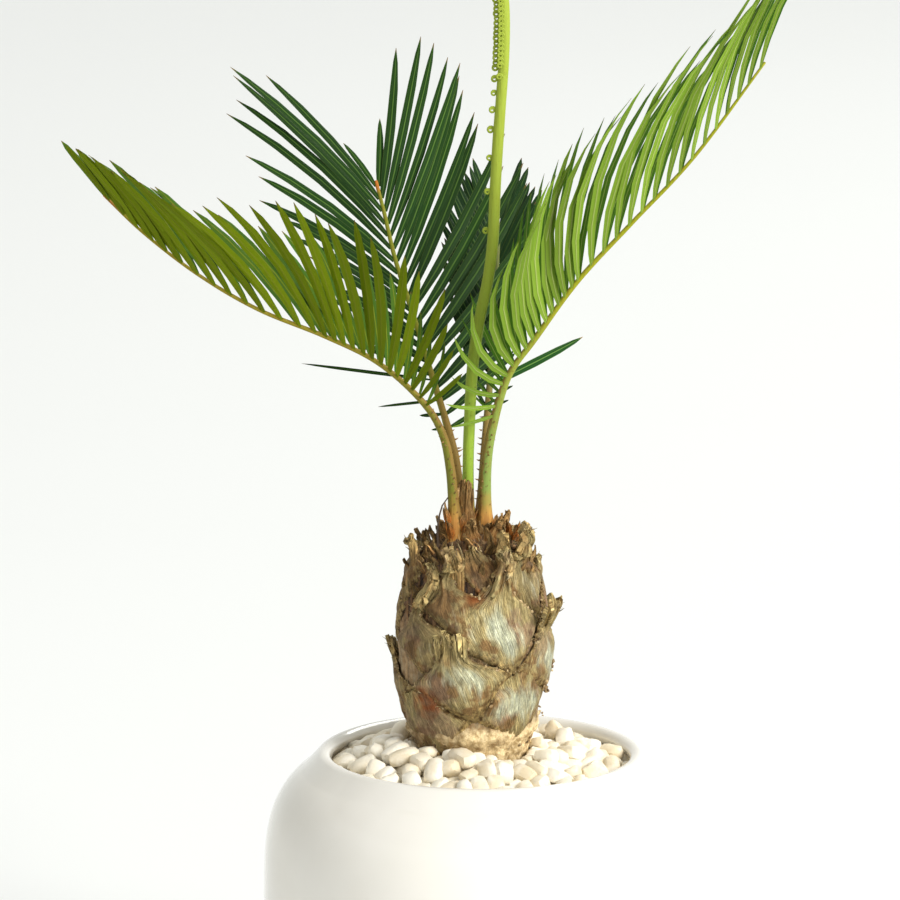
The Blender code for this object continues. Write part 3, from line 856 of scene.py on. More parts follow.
# %% Spin the trunk
TRUNK_OUTLINE = [(80, 0), (82, 6.5), (88, 12.5), (97, 14.9), (106, 15.4), (114, 17), (125, 19.2),
                 (137, 20.1), (149, 18.5), (158, 16.4), (163, 13.8), (167, 10.5), (169, 8)]
TRUNK_FOOT, TRUNK_TOP, CROWN_RADIUS = 80, 168.8, 7.6
TRUNK_ROWS, CROWN_RINGS, TRUNK_STEPS = 120, 8, 180


def trunk_radius(height):
    return value_at(TRUNK_OUTLINE, height)


outline = [(trunk_radius(z), z) for z in np.linspace(TRUNK_TOP, TRUNK_FOOT, TRUNK_ROWS)]
crown = [(r, TRUNK_TOP) for r in np.linspace(0, CROWN_RADIUS, CROWN_RINGS)]
trunk = spun("trunk_bark", crown + outline, TRUNK_STEPS)
print("smooth trunk:", len(trunk.data.vertices), "vertices")


# %% Roughen it
def rough_bark(point, collar, top):
    """How far the bark stands out at a point, in mm."""
    x, y, z = point
    rough = (0.5 + 0.5 * collar + 1.4 * top) * noise.noise(point * 0.32)
    rough += (0.3 + 0.1 * collar + 0.6 * top) * noise.noise(point * 0.95)
    rough += 0.22 * noise.noise(point * 2.4)
    rough += ease((z - 138) / 8) * (1.1 * noise.noise(Vector((x, y, z * 0.3)) * 0.9)
                                    + 0.8 * noise.noise(Vector((x, y, z * 0.35)) * 2.1))
    return rough


cork_values = []
for vert in trunk.data.vertices:
    point = vert.co / MM
    collar = ease((117 - point.z) / 6) * ease((point.z - 92) / 6)
    top = ease((point.z - 160) / 5)
    seam = ease((point.z - 108) / 4) * (1 - top)
    out = Vector((point.x, point.y, 0)).normalized()
    point += out * (rough_bark(point, collar, top) + 1.0 * collar + 1.3 * seam)
    point.z += 1.8 * top * noise.noise(point * 0.5 + Vector((7, 3, 1)))
    vert.co = (point + Vector((TRUNK_X, 0, 0))) * MM
    # Painted shade: less cork, and so darker bark, towards the left side of the collar.
    painted_shade_fade = 0.4 + 0.6 * ease((point.x + 15) / 14)
    corky = collar * painted_shade_fade + 0.05 * top + 0.3 * seam * ease((148 - point.z) / 10)
    cork_values.append(min(1, corky))
set_values(trunk, "cork", cork_values)
finish_piece(trunk, "trunk_bark", [bark_finish], ["trunk"])

# %% [markdown]
# ## Leaf bases
# Each old leaf left a scale: a broad mound whose sides tuck under the scales below it, with a
# narrow torn end that stands up and off the trunk. They follow a spiral, each turned by the golden
# angle and a little higher, and the CAD model has the same lattice. On that lattice a plain scale
# is a diamond: v runs from -1 at its foot, through 0 at its widest, to 1 at its tip and beyond on
# the torn end, and across runs from -1 to 1.

# %% The lattice
SCALE_COUNT = 19
SCALE_TURN = math.radians(-137.5)
SCALE_RISE = 2.8
SCALE_START = (math.radians(-132.5), 114.5)
SCALES_BOTTOM, SCALES_TOP, CROWDING = 102.5, 168.0, 10.0


def lattice_step(count):
    """The turn and rise from a scale to its neighbour that is count scales further on."""
    turn = count * SCALE_TURN
    return turn - 2 * math.pi * round(turn / (2 * math.pi)), count * SCALE_RISE


SIDES = lattice_step(3), lattice_step(5)


def crowded(height):
    """Heights near either end of the trunk are drawn together, as in the CAD model."""
    over, under = height - (SCALES_TOP - CROWDING), SCALES_BOTTOM + CROWDING - height
    if over > 0:
        return SCALES_TOP - CROWDING * math.exp(-over / CROWDING)
    if under > 0:
        return SCALES_BOTTOM + CROWDING * math.exp(-under / CROWDING)
    return height


print("neighbours turn by", [round(math.degrees(turn), 1) for turn, rise in SIDES], "degrees")

# %% [markdown]
# ## What is special about some scales
# A plan says how far a scale bulges, where it ends, and how its torn end flares, leans and
# narrows. It also says how torn and how silvery it is, how much stain it has, where its silver
# spot lies (across, v, and both widths), how steep and slim it is, and whether it is shifted.
# The silver is partly a painted highlight, and the darkest stains are partly painted shade. Most
# scales follow the plain plan, and others differ from it, such as the broad silver one.

# %% Plans of the scales
PLAIN_SCALE = dict(bulge=0.95, end=1.5, flare=2.2, neck=0.33, torn=0.75, lean=0.0, silver_and_highlight=0.35,
                   stain_and_shade=0.1, steep=1.25, slim=1.0, shift=0.0, up=0.0, point=0.18,
                   highlight_patch=(-0.1, -0.1, 0.36, 0.5))
# The high stain values, on the upper scales behind the torn ends and on the left side, are partly
# painted shade.
SPECIAL_SCALES = {
    0: dict(bulge=0.8, end=0.9, flare=0.1, neck=0.5, torn=0.1, silver_and_highlight=0.15, stain_and_shade=0.0),
    1: dict(bulge=0.7, end=1.1, flare=0.5, torn=0.3),
    2: dict(bulge=0.7, end=0.95, flare=0.1, neck=0.5, torn=0.1, silver_and_highlight=0.75, stain_and_shade=0.0,
            highlight_patch=(0.0, 0.2, 0.7, 0.4)),
    3: dict(end=1.1, flare=2.8, stain_and_shade=0.7),
    4: dict(end=1.3, flare=1.0),
    5: dict(bulge=1.15, end=1.22, flare=1.4, neck=0.3, torn=1.0, lean=0.1, silver_and_highlight=0.7,
            stain_and_shade=0.0, highlight_patch=(0.2, 0.2, 0.42, 0.35)),
    7: dict(bulge=1.05, end=1.36, flare=6.4, neck=0.32, torn=0.8, silver_and_highlight=0.7, stain_and_shade=0.0),
    8: dict(bulge=1.0, end=1.7, flare=1.0, neck=0.2, point=0.45, torn=0.5, lean=0.45, silver_and_highlight=0.2,
            stain_and_shade=0.3, steep=1.9, slim=0.78, shift=0.33, up=3.5),
    10: dict(bulge=1.1, end=2.15, flare=1.2, neck=0.15, point=0.4, torn=0.25, lean=0.42,
             silver_and_highlight=1.0, stain_and_shade=0.0, steep=0.66, highlight_patch=(-0.02, 0.06, 0.2, 0.6)),
    11: dict(stain_and_shade=0.7),
    12: dict(end=1.15, flare=0.4),
    13: dict(bulge=1.25, end=1.55, flare=2.6, neck=0.3, torn=0.45, lean=0.27, silver_and_highlight=0.2,
             stain_and_shade=0.3, steep=2.2, slim=0.62, shift=0.24),
    14: dict(end=1.25, stain_and_shade=0.6, torn=0.6),
    15: dict(end=2.0, flare=1.4, neck=0.22, torn=0.6, lean=0.24, silver_and_highlight=0.4, stain_and_shade=0.2,
             steep=1.3, slim=0.85),
    16: dict(end=0.95, flare=1.5, neck=0.3, torn=0.8, stain_and_shade=0.9, steep=2.0, slim=0.75),
    17: dict(end=1.1, stain_and_shade=0.8, torn=0.5),
    18: dict(bulge=0.8, end=0.8, flare=1.2, neck=0.5, torn=0.3, silver_and_highlight=0.0, stain_and_shade=1.0,
             steep=0.9, slim=0.46, shift=0.07, up=-4.0),
}
PLANS = [{**PLAIN_SCALE, **SPECIAL_SCALES.get(index, {})} for index in range(SCALE_COUNT)]
DRIFTS = [Vector((index * 5.3, index * 2.9, 0)) for index in range(SCALE_COUNT)]
print(len(SPECIAL_SCALES), "of", SCALE_COUNT, "scales have a plan of their own")

# %% [markdown]
# ## One spot on a scale
# The shape is one formula, so that the fibres and crumbs made later can find the same spots. It
# gives the width of the row, then how far the spot lifts off the trunk (a mound with a low rim,
# ribs that grow towards the torn end, and wrinkles below), and last its turn and height.

# %% Width and lift
NECK = 0.5


def scale_half(plan, drift, across, v):
    """Half the width of the row at v; the diamond passes softly into the neck."""
    diamond = 1 - v * plan["steep"] if v > 0 else 1 + v * 0.86
    diamond += 0.05 * lumps(v * 3.1, math.copysign(1, across), 1, drift)
    neck = plan["neck"] * (1 - plan["point"] * ease((v - 1) / max(0.8, plan["end"] - 1)))
    if 0 < v < 1:
        return (max(diamond, 0) ** 5 + neck ** 5) ** 0.2
    return max(diamond, neck if v > 0 else 0.1)


def scale_lift(plan, drift, across, v, low, stub):
    """How far the spot stands off the trunk, in mm."""
    mound = 1 - math.exp(-max(0, low + 0.1) / 0.12)
    rim = math.exp(-max(0, 1 - abs(across)) / 0.1)
    lift = 0.3 + 2.8 * plan["bulge"] * mound + 0.35 * (v + 1)
    lift -= 1.5 * rim * (0.3 + 0.7 * mound) * (1 - 0.5 * stub)
    lift += plan["flare"] * ease((v - 0.6) / 0.9) - 0.9 * stub * across ** 2
    ribs = lumps(across * (4.5 + 3 * stub), v * (0.8 - 0.4 * stub), 5, drift)
    fine = lumps(across * 11, v * (1.7 - stub), 2, drift)
    lift += (0.18 + 0.9 * stub) * ribs + (0.08 + 0.4 * stub) * fine
    lift += 0.22 * lumps(across * 1.6, v * 9, 4, drift) * ease((0.3 - v) / 0.6) * mound
    return lift + 0.75 * lumps(across * 1.7, v * 2.0, 7, drift)


print("half a plain scale's width near its tip:",
      round(scale_half(PLAIN_SCALE, Vector(), 0, NECK), 2), "of its widest")


# %% End and place
def scale_end(index, across):
    """How far up the torn end reaches at this column; its strands break off unevenly."""
    plan, drift = PLANS[index], DRIFTS[index]
    ragged = 0.34 * lumps(across * 4, 0, 3, drift)
    ragged += 0.30 * lumps(across * 10, 0, 8, drift)
    return plan["end"] + min(1, plan["end"] - 0.6) * ragged - 0.12 * across ** 2


def scale_spot(index, across, v):
    """The spot's place in mm, and from 0 to 1 how far it stands above the seams."""
    plan, drift = PLANS[index], DRIFTS[index]
    half = scale_half(plan, drift, across, v)
    side = -across * half * plan["slim"]
    a, b = (v + side) / 2, (v - side) / 2
    stub = ease((v - NECK) / 0.45)
    low = (v - abs(across) * half) / 2 + 0.5
    turn = SCALE_START[0] + index * SCALE_TURN + a * SIDES[0][0] + b * SIDES[1][0] + plan["shift"]
    waver = 0.03 * stub * lumps(across * 6, v, 9, drift)
    turn += plan["lean"] * ease((v - 0.45) / max(0.8, plan["end"] - 0.6)) + waver
    height = SCALE_START[1] + index * SCALE_RISE + a * SIDES[0][1] + b * SIDES[1][1] + plan["up"]
    if v > 1:
        height += 2.5 * (v - 1)
    height = crowded(height) + max(0, height - 166) * 0.25 * stub
    lift = scale_lift(plan, drift, across, v, low, stub)
    lift *= 0.55 + 0.45 * ease((height - 105) / 12)
    radius = max(trunk_radius(height), 15.6 * stub) + max(0.1, lift)
    edge = 1 - 0.9 * math.exp(-max(0, 1 - abs(across)) / 0.09)
    return (around(turn, radius, height, TRUNK_X),
            (1 - math.exp(-max(0, low + 0.08) / 0.2)) * edge)


print("the first scale's middle:", [round(x, 1) for x in scale_spot(0, 0, 0)[0]], "mm")

# %% [markdown]
# ## Shaping a scale
# A scale starts as a fine flat grid. A few narrow wedges are cut out of its upper rows, so that
# the torn end falls into strands. Then every vertex goes to its spot, and Solidify gives the sheet
# its thickness.

# %% Values that the finish reads
FOOT = -1.14
CORKY_SCALES = (1, 2, 4)
RUST_SPOTS = ((Vector((-15.5, -16.5, 122.5)), 5.5), (Vector((-1.6, -20.5, 153)), 3))


def scale_values(index, across, v, point, stands, ragged):
    plan = PLANS[index]
    bareness = ease((114.5 - point.z) / 7) * (1 if index in CORKY_SCALES else 0.3)
    rust = max(max(0, 1 - (point - spot).length / size) ** 0.45 for spot, size in RUST_SPOTS)
    right, up, wide, tall = plan["highlight_patch"]
    centre = math.exp(-((across - right) / wide) ** 2 - ((v - up) / tall) ** 2)
    return dict(
        crest=stands,
        torn=plan["torn"] * ease((v - NECK + 0.1) / 0.5) * (0.75 + 0.5 * ragged),
        cork=min(1, bareness * 1.3) * (0.6 + 0.8 * noise.noise(point * 0.35)),
        rust=rust * (0.95 + 0.9 * noise.noise(point * 0.5)),
        # The silver value is partly a painted highlight.
        silver_and_highlight=plan["silver_and_highlight"] * (0.25 + 0.95 * centre),
        # The stain value is partly painted shade.
        stain_and_shade=plan["stain_and_shade"] * (0.8 + 0.9 * noise.noise(point * 0.22 + DRIFTS[index])))


print(len(CORKY_SCALES), "scales have a corky foot, and there are", len(RUST_SPOTS), "rust spots")


# %% Strands of the torn end
SCALE_COLUMNS, SCALE_ROWS = 46, 76
SPLITS, FIRST_SPLIT_SEED = 4, 90


def split_strands(scale, index):
    """Deletes narrow wedges of faces from the torn end, so that its strands stand apart."""
    rnd = random.Random(FIRST_SPLIT_SEED + index)
    if PLANS[index]["torn"] < 0.3:
        return
    columns = rnd.sample(range(SPLITS, SCALE_COLUMNS - SPLITS), SPLITS)
    cuts = {column: rnd.uniform(0.66, 0.9) for column in columns}
    for face in scale.data.polygons:
        x, y = face.center.x, (face.center.y + 1) / 2
        column = int((x + 1) / 2 * SCALE_COLUMNS)
        for cut, start in cuts.items():
            reach = 0 if y < start + 0.12 else 1
            face.select = face.select or (y > start and 0 <= column - cut <= reach)
    bpy.ops.object.mode_set(mode="EDIT")
    bpy.ops.mesh.delete(type="FACE")
    bpy.ops.object.mode_set(mode="OBJECT")


print("torn scales to split:", sum(plan["torn"] >= 0.3 for plan in PLANS))


# %% Shape the scales
def add_sheet(columns, rows):
    """A flat grid from -1 to 1 each way, with nothing on it selected."""
    deselect_all()
    bpy.ops.mesh.primitive_grid_add(x_subdivisions=columns, y_subdivisions=rows, size=2)
    bpy.ops.object.mode_set(mode="EDIT")
    bpy.ops.mesh.select_all(action="DESELECT")
    bpy.ops.object.mode_set(mode="OBJECT")
    return bpy.context.object


def shape_scale(index):
    scale = add_sheet(SCALE_COLUMNS, SCALE_ROWS)
    split_strands(scale, index)
    marks, values = [], []
    for vert in scale.data.vertices:
        across, climb = vert.co.x, (vert.co.y + 1) / 2
        end = scale_end(index, across)
        v = FOOT + climb * (end - FOOT)
        point, stands = scale_spot(index, across, v)
        vert.co = point * MM
        values.append(scale_values(index, across, v, point, stands, end - PLANS[index]["end"]))
        marks.append((across * (0.25 + 0.75 * max(0.3, 1 - abs(v))) * 1.4, v * 1.1))
    for label in values[0]:
        set_values(scale, label, np.clip([each[label] for each in values], 0, 1))
    set_map(scale, marks)
    return thicken(scale, 1.3)


for index in range(SCALE_COUNT):
    finish_piece(shape_scale(index), f"scale_{index + 1:02d}", [scale_finish],
                 [f"leaf_base_{index + 1:02d}"], sharp_from=75)

# %% [markdown]
# ## Loose fibres
# The torn ends fray into dry strands, and short hairs and dirt catch in the seams. Each is a thin
# tapered tube, bent a little. All of them are drawn together as one curve object and made a mesh.

# %% Tubes from lines
def tubes(name, lines, sides=2, tones=None):
    """One mesh of many tapered tubes. Each line is a list of (point in metres, radius in mm)."""
    drawn = bpy.data.curves.new(name, "CURVE")
    drawn.dimensions = "3D"
    drawn.bevel_depth = MM
    drawn.bevel_resolution = sides
    drawn.use_fill_caps = True
    for line in lines:
        spline = drawn.splines.new("POLY")
        spline.points.add(len(line) - 1)
        for spot, (point, radius) in zip(spline.points, line):
            spot.co = (*point, 1)
            spot.radius = radius
    add_piece(name, drawn)
    bpy.ops.object.convert(target="MESH")
    piece = bpy.context.object
    if tones:
        corners = 4 + 2 * sides
        caps = np.repeat(tones[::-1], 2 * corners)
        rings = np.repeat(tones, [corners * len(line) for line in lines])
        set_values(piece, "tone", np.concatenate((caps, rings)))
    bpy.ops.object.mode_set(mode="EDIT")
    bpy.ops.mesh.select_all(action="SELECT")
    bpy.ops.mesh.remove_doubles(threshold=0.001 * MM)
    bpy.ops.object.mode_set(mode="OBJECT")
    return piece


def random_way(rnd, spread):
    return Vector([rnd.gauss(0, spread) for _ in range(3)])


def bent_line(rnd, start, way, long, radius, steps=4):
    """A strand from start (mm) that wanders off its way."""
    line, point, way = [], Vector(start), Vector(way).normalized()
    for k in range(steps + 1):
        line.append((point * MM, radius * (1 - 0.8 * k / steps)))
        way = (way + 0.28 * random_way(rnd, 1)).normalized()
        point = point + way * long / steps
    return line


print("a strand has", len(bent_line(random.Random(0), (0, 0, 0), (0, 0, 1), 1, 0.1)), "points")


# %% Frayed ends and seam hairs
FRAYED, SEAM_HAIRS = 26, 46
SCALES_FROM, SCALES_TO = 106, 168


def outward(point):
    """Away from the trunk's axis, level."""
    return Vector((point.x - TRUNK_X, point.y, 0)).normalized()


rnd = random.Random(12)
lines, tones = [], []
for index, plan in enumerate(PLANS):
    for _ in range(int(FRAYED * plan["torn"])):
        across = rnd.uniform(-0.95, 0.95)
        end = scale_end(index, across)
        start, before = [scale_spot(index, across, end - back)[0] for back in (0.12, 0.4)]
        axis = outward(start)
        lines.append(bent_line(rnd, start - 0.4 * axis, start - before + 0.25 * axis,
                               rnd.uniform(1.2, 3.6), rnd.uniform(0.12, 0.3)))
        # Fibres on darkly stained scales are darker too, and so carry part of their painted shade.
        tones.append(rnd.uniform(0.1, 1) * (1 - 0.6 * plan["stain_and_shade"]))
    for _ in range(SEAM_HAIRS):
        side, v = rnd.choice((-1, 1)), rnd.uniform(-0.7, 0.85)
        start = scale_spot(index, side * 0.97, v)[0]
        if not SCALES_FROM < start.z < SCALES_TO:
            continue
        way = random_way(rnd, 0.8) + 0.5 * outward(start) + Vector((0, 0, 0.5))
        lines.append(bent_line(rnd, start, way, rnd.uniform(0.8, 2.2), rnd.uniform(0.06, 0.13), 3))
        tones.append(rnd.uniform(0.3, 1))
finish_piece(tubes("loose_fibres", lines, 0, tones), "loose_fibres", [fibre_finish],
             sharp_from=80)
print(len(lines), "strands")

# %% [markdown]
# ## Crumbs
# Crumbs of cork and dirt stick in the seams, stand out at the edge of the trunk, and lie on the
# pebbles. One crumb is a twenty-sided ball pushed out of shape. It is copied with its own size
# and turn.

# %% Places for the crumbs
SEAM_CRUMBS, COLLAR_CRUMBS, CRUMBS_IN_A_CLUMP = 760, 90, 7
CLUMPS = ((-6, 131, 22.6), (-14, 124, 22), (-5, 116.5, 19.8), (-22, 110, 17.4))
rnd = random.Random(33)
spots = []  # point and size in mm
for _ in range(SEAM_CRUMBS):
    index = rnd.randrange(SCALE_COUNT)
    side, v = rnd.choice((-1, 1)), rnd.uniform(-0.8, 0.9)
    point = scale_spot(index, side * rnd.uniform(0.9, 1.02), v)[0]
    if SCALES_FROM < point.z < SCALES_TO:
        spots.append((point, rnd.uniform(0.14, 0.5)))
for _ in range(COLLAR_CRUMBS):
    turn, far = rnd.uniform(0, 2 * math.pi), rnd.uniform(16.6, 18.6)
    spots.append((around(turn, far, rnd.uniform(101, 112), TRUNK_X), rnd.uniform(0.2, 0.5)))
for turn, high, far in CLUMPS:
    for _ in range(CRUMBS_IN_A_CLUMP):
        angle, level = math.radians(turn) + rnd.gauss(0, 0.035), high + rnd.gauss(0, 0.9)
        reach = far + rnd.uniform(-0.8, 0.9)
        spots.append((around(angle, reach, level, TRUNK_X), rnd.uniform(0.3, 0.75)))
print(len(spots), "crumbs")

# %% Scatter the crumbs
deselect_all()
bpy.ops.mesh.primitive_ico_sphere_add(subdivisions=1, radius=1)
sample = bpy.context.object
for vert in sample.data.vertices:
    vert.co *= 1 + 0.55 * noise.noise(vert.co * 1.7)
crumbs = []
for point, size in spots:
    crumb = own_copy(sample)
    crumb.location = point * MM
    crumb.rotation_euler = [rnd.uniform(0, 6.28) for _ in range(3)]
    crumb.scale = [size * rnd.uniform(0.7, 1.5) * MM for _ in range(3)]
    set_values(crumb, "cork", [rnd.uniform(0.1, 1)] * len(crumb.data.vertices))
    crumbs.append(crumb)
finish_piece(join_copies(crumbs, [sample]), "crumbs", [bark_finish], sharp_from=30)

# %% [markdown]
# ## Bud scales
# Short pointed scales stand round the crown, between the stalks. They are small torn flakes, so
# each is a grid rolled into a pointed gutter, roughened and made solid.

# %% Seven bud scales
def shape_flake(seed, width, tall, thickness, columns=14, rows=22, taper=0.8, rust=0.35,
                stain=0.2, warm=1.0, torn=0.45):
    """A pointed, ragged flake that stands on the origin and faces +X. Its sizes are in mm."""
    drift = Vector((seed * 4.7, 0, seed * 1.3))
    deselect_all()
    bpy.ops.mesh.primitive_grid_add(x_subdivisions=columns, y_subdivisions=rows, size=2)
    flake = bpy.context.object
    verts, marks = flake.data.vertices, []
    for vert in verts:
        across, up = vert.co.x, (vert.co.y + 1) / 2
        reach = 1 + 0.34 * lumps(across * 5, 0, 2, drift)
        reach += 0.2 * lumps(across * 13, 0, 5, drift)
        half = width / 2 * (1 - taper * up ** 1.7)
        half *= 1 + 0.3 * lumps(up * 4, 0, 6, drift)
        depth = -0.22 * width * across ** 2 + 0.2 * tall * up ** 2
        depth += 0.1 * width * lumps(across * 3, up * 3, 1, drift)
        depth += 0.07 * width * lumps(across * 9, up * 2, 4, drift)
        vert.co = (depth * MM, across * half * MM, up * tall * reach * MM)
        marks.append((across * 0.4, up * tall / 10))
    set_map(flake, marks)
    highs = [vert.co.z / tall / MM for vert in verts]
    set_values(flake, "crest", [0.7 + 0.4 * noise.noise(vert.co * 900 + drift) for vert in verts])
    set_values(flake, "torn", [torn * ease(0.25 + high) for high in highs])
    set_values(flake, "rust", [rust * ease((1 - high) / warm) for high in highs])
    set_values(flake, "stain_and_shade",
               [stain + 0.9 * noise.noise(vert.co * 260 + drift) for vert in verts])
    return thicken(flake, thickness)


BUD_COUNT, BUD_RING, CROWN_FOOT = 7, 9.6, 165.6
for index in range(BUD_COUNT):
    rnd = random.Random(index)
    tall = rnd.uniform(5.5, 8.5)
    turn = 2 * math.pi * (index + 0.3 * rnd.random()) / BUD_COUNT
    flake = shape_flake(index, 6.2, tall, 0.8)
    flake.location = around(turn, BUD_RING, CROWN_FOOT, TRUNK_X) * MM
    flake.rotation_euler.z = turn
    finish_piece(flake, f"bud_flake_{index + 1:02d}", [bud_finish],
                 [f"bud_scale_{index + 1:02d}"], sharp_from=60)

# %% [markdown]
# ## Crown litter
# Between the bud scales the crown is full of torn brown bits, papery strips stand against the
# feet of the stalks, and a few tall tongues of old fibre stand at the edge. Four small flakes, a
# broad one, a dark one, a strip and a tongue, are modelled once and copied with their own size,
# turn and tilt. Dark ones in a close spiral make the shut bud beside the right stalk.

# %% Copies of a flake
def copy_flake(sample, place, turn, tilt, size, roll=0.0):
    """A copy with its foot at place (mm), facing turn, leaning outwards by tilt."""
    bit = own_copy(sample)
    bit.location = Vector(place) * MM
    bit.rotation_euler = (roll, tilt, turn)
    bit.scale = size
    litter.append(bit)


broad = shape_flake(31, 4.2, 5.0, 0.5, 4, 6, stain=0.3)
dark = shape_flake(35, 4.0, 5.0, 0.5, 4, 6, rust=0.0, stain=1.1)
strip = shape_flake(37, 4.0, 9.0, 0.4, 6, 10, 0.6, 1.2, -0.1, 0.4)
tongue = shape_flake(52, 4.6, 12.0, 1.1, 14, 22, 0.35, 0.1, 0.1, 0.4, 1.0)
litter = []
print("flakes to copy:", [len(flake.data.polygons) for flake in (broad, dark, strip, tongue)])

# %% Bits on the crown and round its edge
BITS_ON_TOP, BITS_ROUND_EDGE = 52, 130
FRONT_FROM, FRONT_TO = 3.7, 5.1  # turns between which the bits also hang lower
rnd = random.Random(21)
for _ in range(BITS_ON_TOP):
    turn = rnd.uniform(0, 2 * math.pi)
    far = 11.5 * math.sqrt(rnd.uniform(0.05, 1))
    place = around(turn, far, 168.2 - 0.3 * far + rnd.uniform(-1, 0.8), TRUNK_X)
    copy_flake(rnd.choice((broad, dark)), place, turn + rnd.uniform(-0.9, 0.9),
               rnd.uniform(-0.3, 0.5), [rnd.uniform(0.7, 1.15)] * 3, rnd.uniform(-0.5, 0.5))
for _ in range(BITS_ROUND_EDGE):
    turn = rnd.uniform(0, 2 * math.pi)
    high = rnd.uniform(152, 165) - (10 * rnd.random() if FRONT_FROM < turn < FRONT_TO else 0)
    far = trunk_radius(high) + rnd.uniform(-0.3, 1.6)
    copy_flake(rnd.choice((broad, dark, dark)), around(turn, far, high - 2.5, TRUNK_X),
               turn + rnd.uniform(-0.7, 0.7), rnd.uniform(-0.1, 0.3),
               (rnd.uniform(0.8, 1.4), rnd.uniform(0.6, 1.5), rnd.uniform(0.8, 1.6)),
               rnd.uniform(-0.3, 0.3))
print(len(litter), "bits")

# %% The shut bud, strips at the stalks' feet, and tongues
SHUT_BUD, SHUT_BUD_RADIUS, SHUT_BUD_FLAKES, FLAKES_BESIDE = Vector((5.2, -3.5, 167.2)), 2.9, 46, 12
SPIRAL_TURN = 2.4
STALK_FEET = (  # x, y, radius, height of the strips
    (-7.4, -6.0, 2.0, 1.0), (-3.6, 0.0, 2.2, 1.0), (1.0, 0.0, 2.0, 0.65),
    (-5.9, 6.0, 1.8, 0.8), (0.4, 7.6, 1.8, 0.6))
STRIPS_ROUND_FOOT = 7
TONGUES = (  # x, y, z, size, roll
    (7.0, -14.4, 157.6, 1.0, 0.06), (13.4, -8.2, 159.2, 1.05, 0.16),
    (-7.7, -19.3, 151.5, 1.15, -0.02), (-19.8, -7.5, 158.5, 0.8, -0.1))
for number in range(SHUT_BUD_FLAKES):
    turn, ring = number * SPIRAL_TURN, math.sqrt(number / SHUT_BUD_FLAKES)
    place = SHUT_BUD + around(turn, SHUT_BUD_RADIUS * ring, 2.4 - 3.0 * ring)
    copy_flake(dark, place, turn, -0.1 - 0.3 * ring, [rnd.uniform(0.5, 0.7)] * 3,
               rnd.uniform(-0.3, 0.3))
for _ in range(FLAKES_BESIDE):
    place = SHUT_BUD + Vector((rnd.uniform(2.5, 6.5), rnd.uniform(-2, 4), rnd.uniform(-1.5, 1.0)))
    copy_flake(rnd.choice((strip, broad)), place, rnd.uniform(-2, 0.5), rnd.uniform(-0.1, 0.5),
               [rnd.uniform(0.4, 0.65)] * 3, rnd.uniform(-0.3, 0.3))
for x, y, radius, reach in STALK_FEET:
    for number in range(STRIPS_ROUND_FOOT):
        turn = 2 * math.pi * number / STRIPS_ROUND_FOOT + rnd.uniform(-0.3, 0.3)
        place = (x + radius * math.cos(turn), y + radius * math.sin(turn), CROWN_FOOT)
        tall = reach * rnd.uniform(0.7, 1.3)
        copy_flake(strip, place, turn, rnd.uniform(-0.02, 0.14), (0.8, 0.8, tall))
for x, y, z, size, roll in TONGUES:
    copy_flake(tongue, (x, y, z), math.atan2(y, x - TRUNK_X), -0.06, (size, size, size), roll)
finish_piece(join_copies(litter, [broad, dark, strip, tongue]), "crown_litter", [bud_finish],
             sharp_from=60)

# %% [markdown]
# ## A dried leaf sheath and a wiry root
# One withered sheath stands in front, between the left stalk and the young shoot: a long brown
# strip, curled along its length. A dark wiry root arches over the crown on the left, and hairs
# stand up between the flakes.

# %% Sheath
SHEATH_PLACE, SHEATH_TURNS = Vector((-4.6, -8.6, CROWN_FOOT)), (-2, -13, -88)
sheath = shape_flake(44, 6.2, 17.5, 0.7, 14, 40, 0.35, 0.5, -0.05)
sheath.location = SHEATH_PLACE * MM
sheath.rotation_euler = [math.radians(turn) for turn in SHEATH_TURNS]
finish_piece(sheath, "dry_sheath", [bud_finish], sharp_from=60)

# %% Wiry root and crown hairs
WIRE = ((-12.2, -7.5, 165), (-12.4, -7.8, 170), (-12.0, -7.9, 174), (-11.0, -7.6, 177.4),
        (-9.4, -7.0, 179.6))
CROWN_HAIRS = 120
lines = [[(Vector(point) * MM, 0.4 - 0.05 * k) for k, point in enumerate(WIRE)]]
tones = [0.0]
rnd = random.Random(8)
for _ in range(CROWN_HAIRS):
    turn, far = rnd.uniform(0, 2 * math.pi), 13.2 * math.sqrt(rnd.uniform(0.1, 1))
    start = around(turn, far, 169.2 - 0.35 * far, TRUNK_X)
    lines.append(bent_line(rnd, start, around(turn, 0.7, 1), rnd.uniform(1.5, 4.5),
                           rnd.uniform(0.08, 0.2)))
    tones.append(rnd.uniform(0, 0.9))
finish_piece(tubes("crown_hairs", lines, 0, tones), "crown_hairs", [fibre_finish],
             sharp_from=80)

# %% [markdown]
# ## Leaf colours
# A leaflet is glossy dark green above and paler, yellower below, with a light midrib on both
# sides and fine veins along it. Its map tells the side and the place: the upper face takes the
# left half, the lower face the right half, and the length runs upwards. Part of the light goes
# through it, so a Translucent shader is mixed in. Each leaflet carries its own tone.

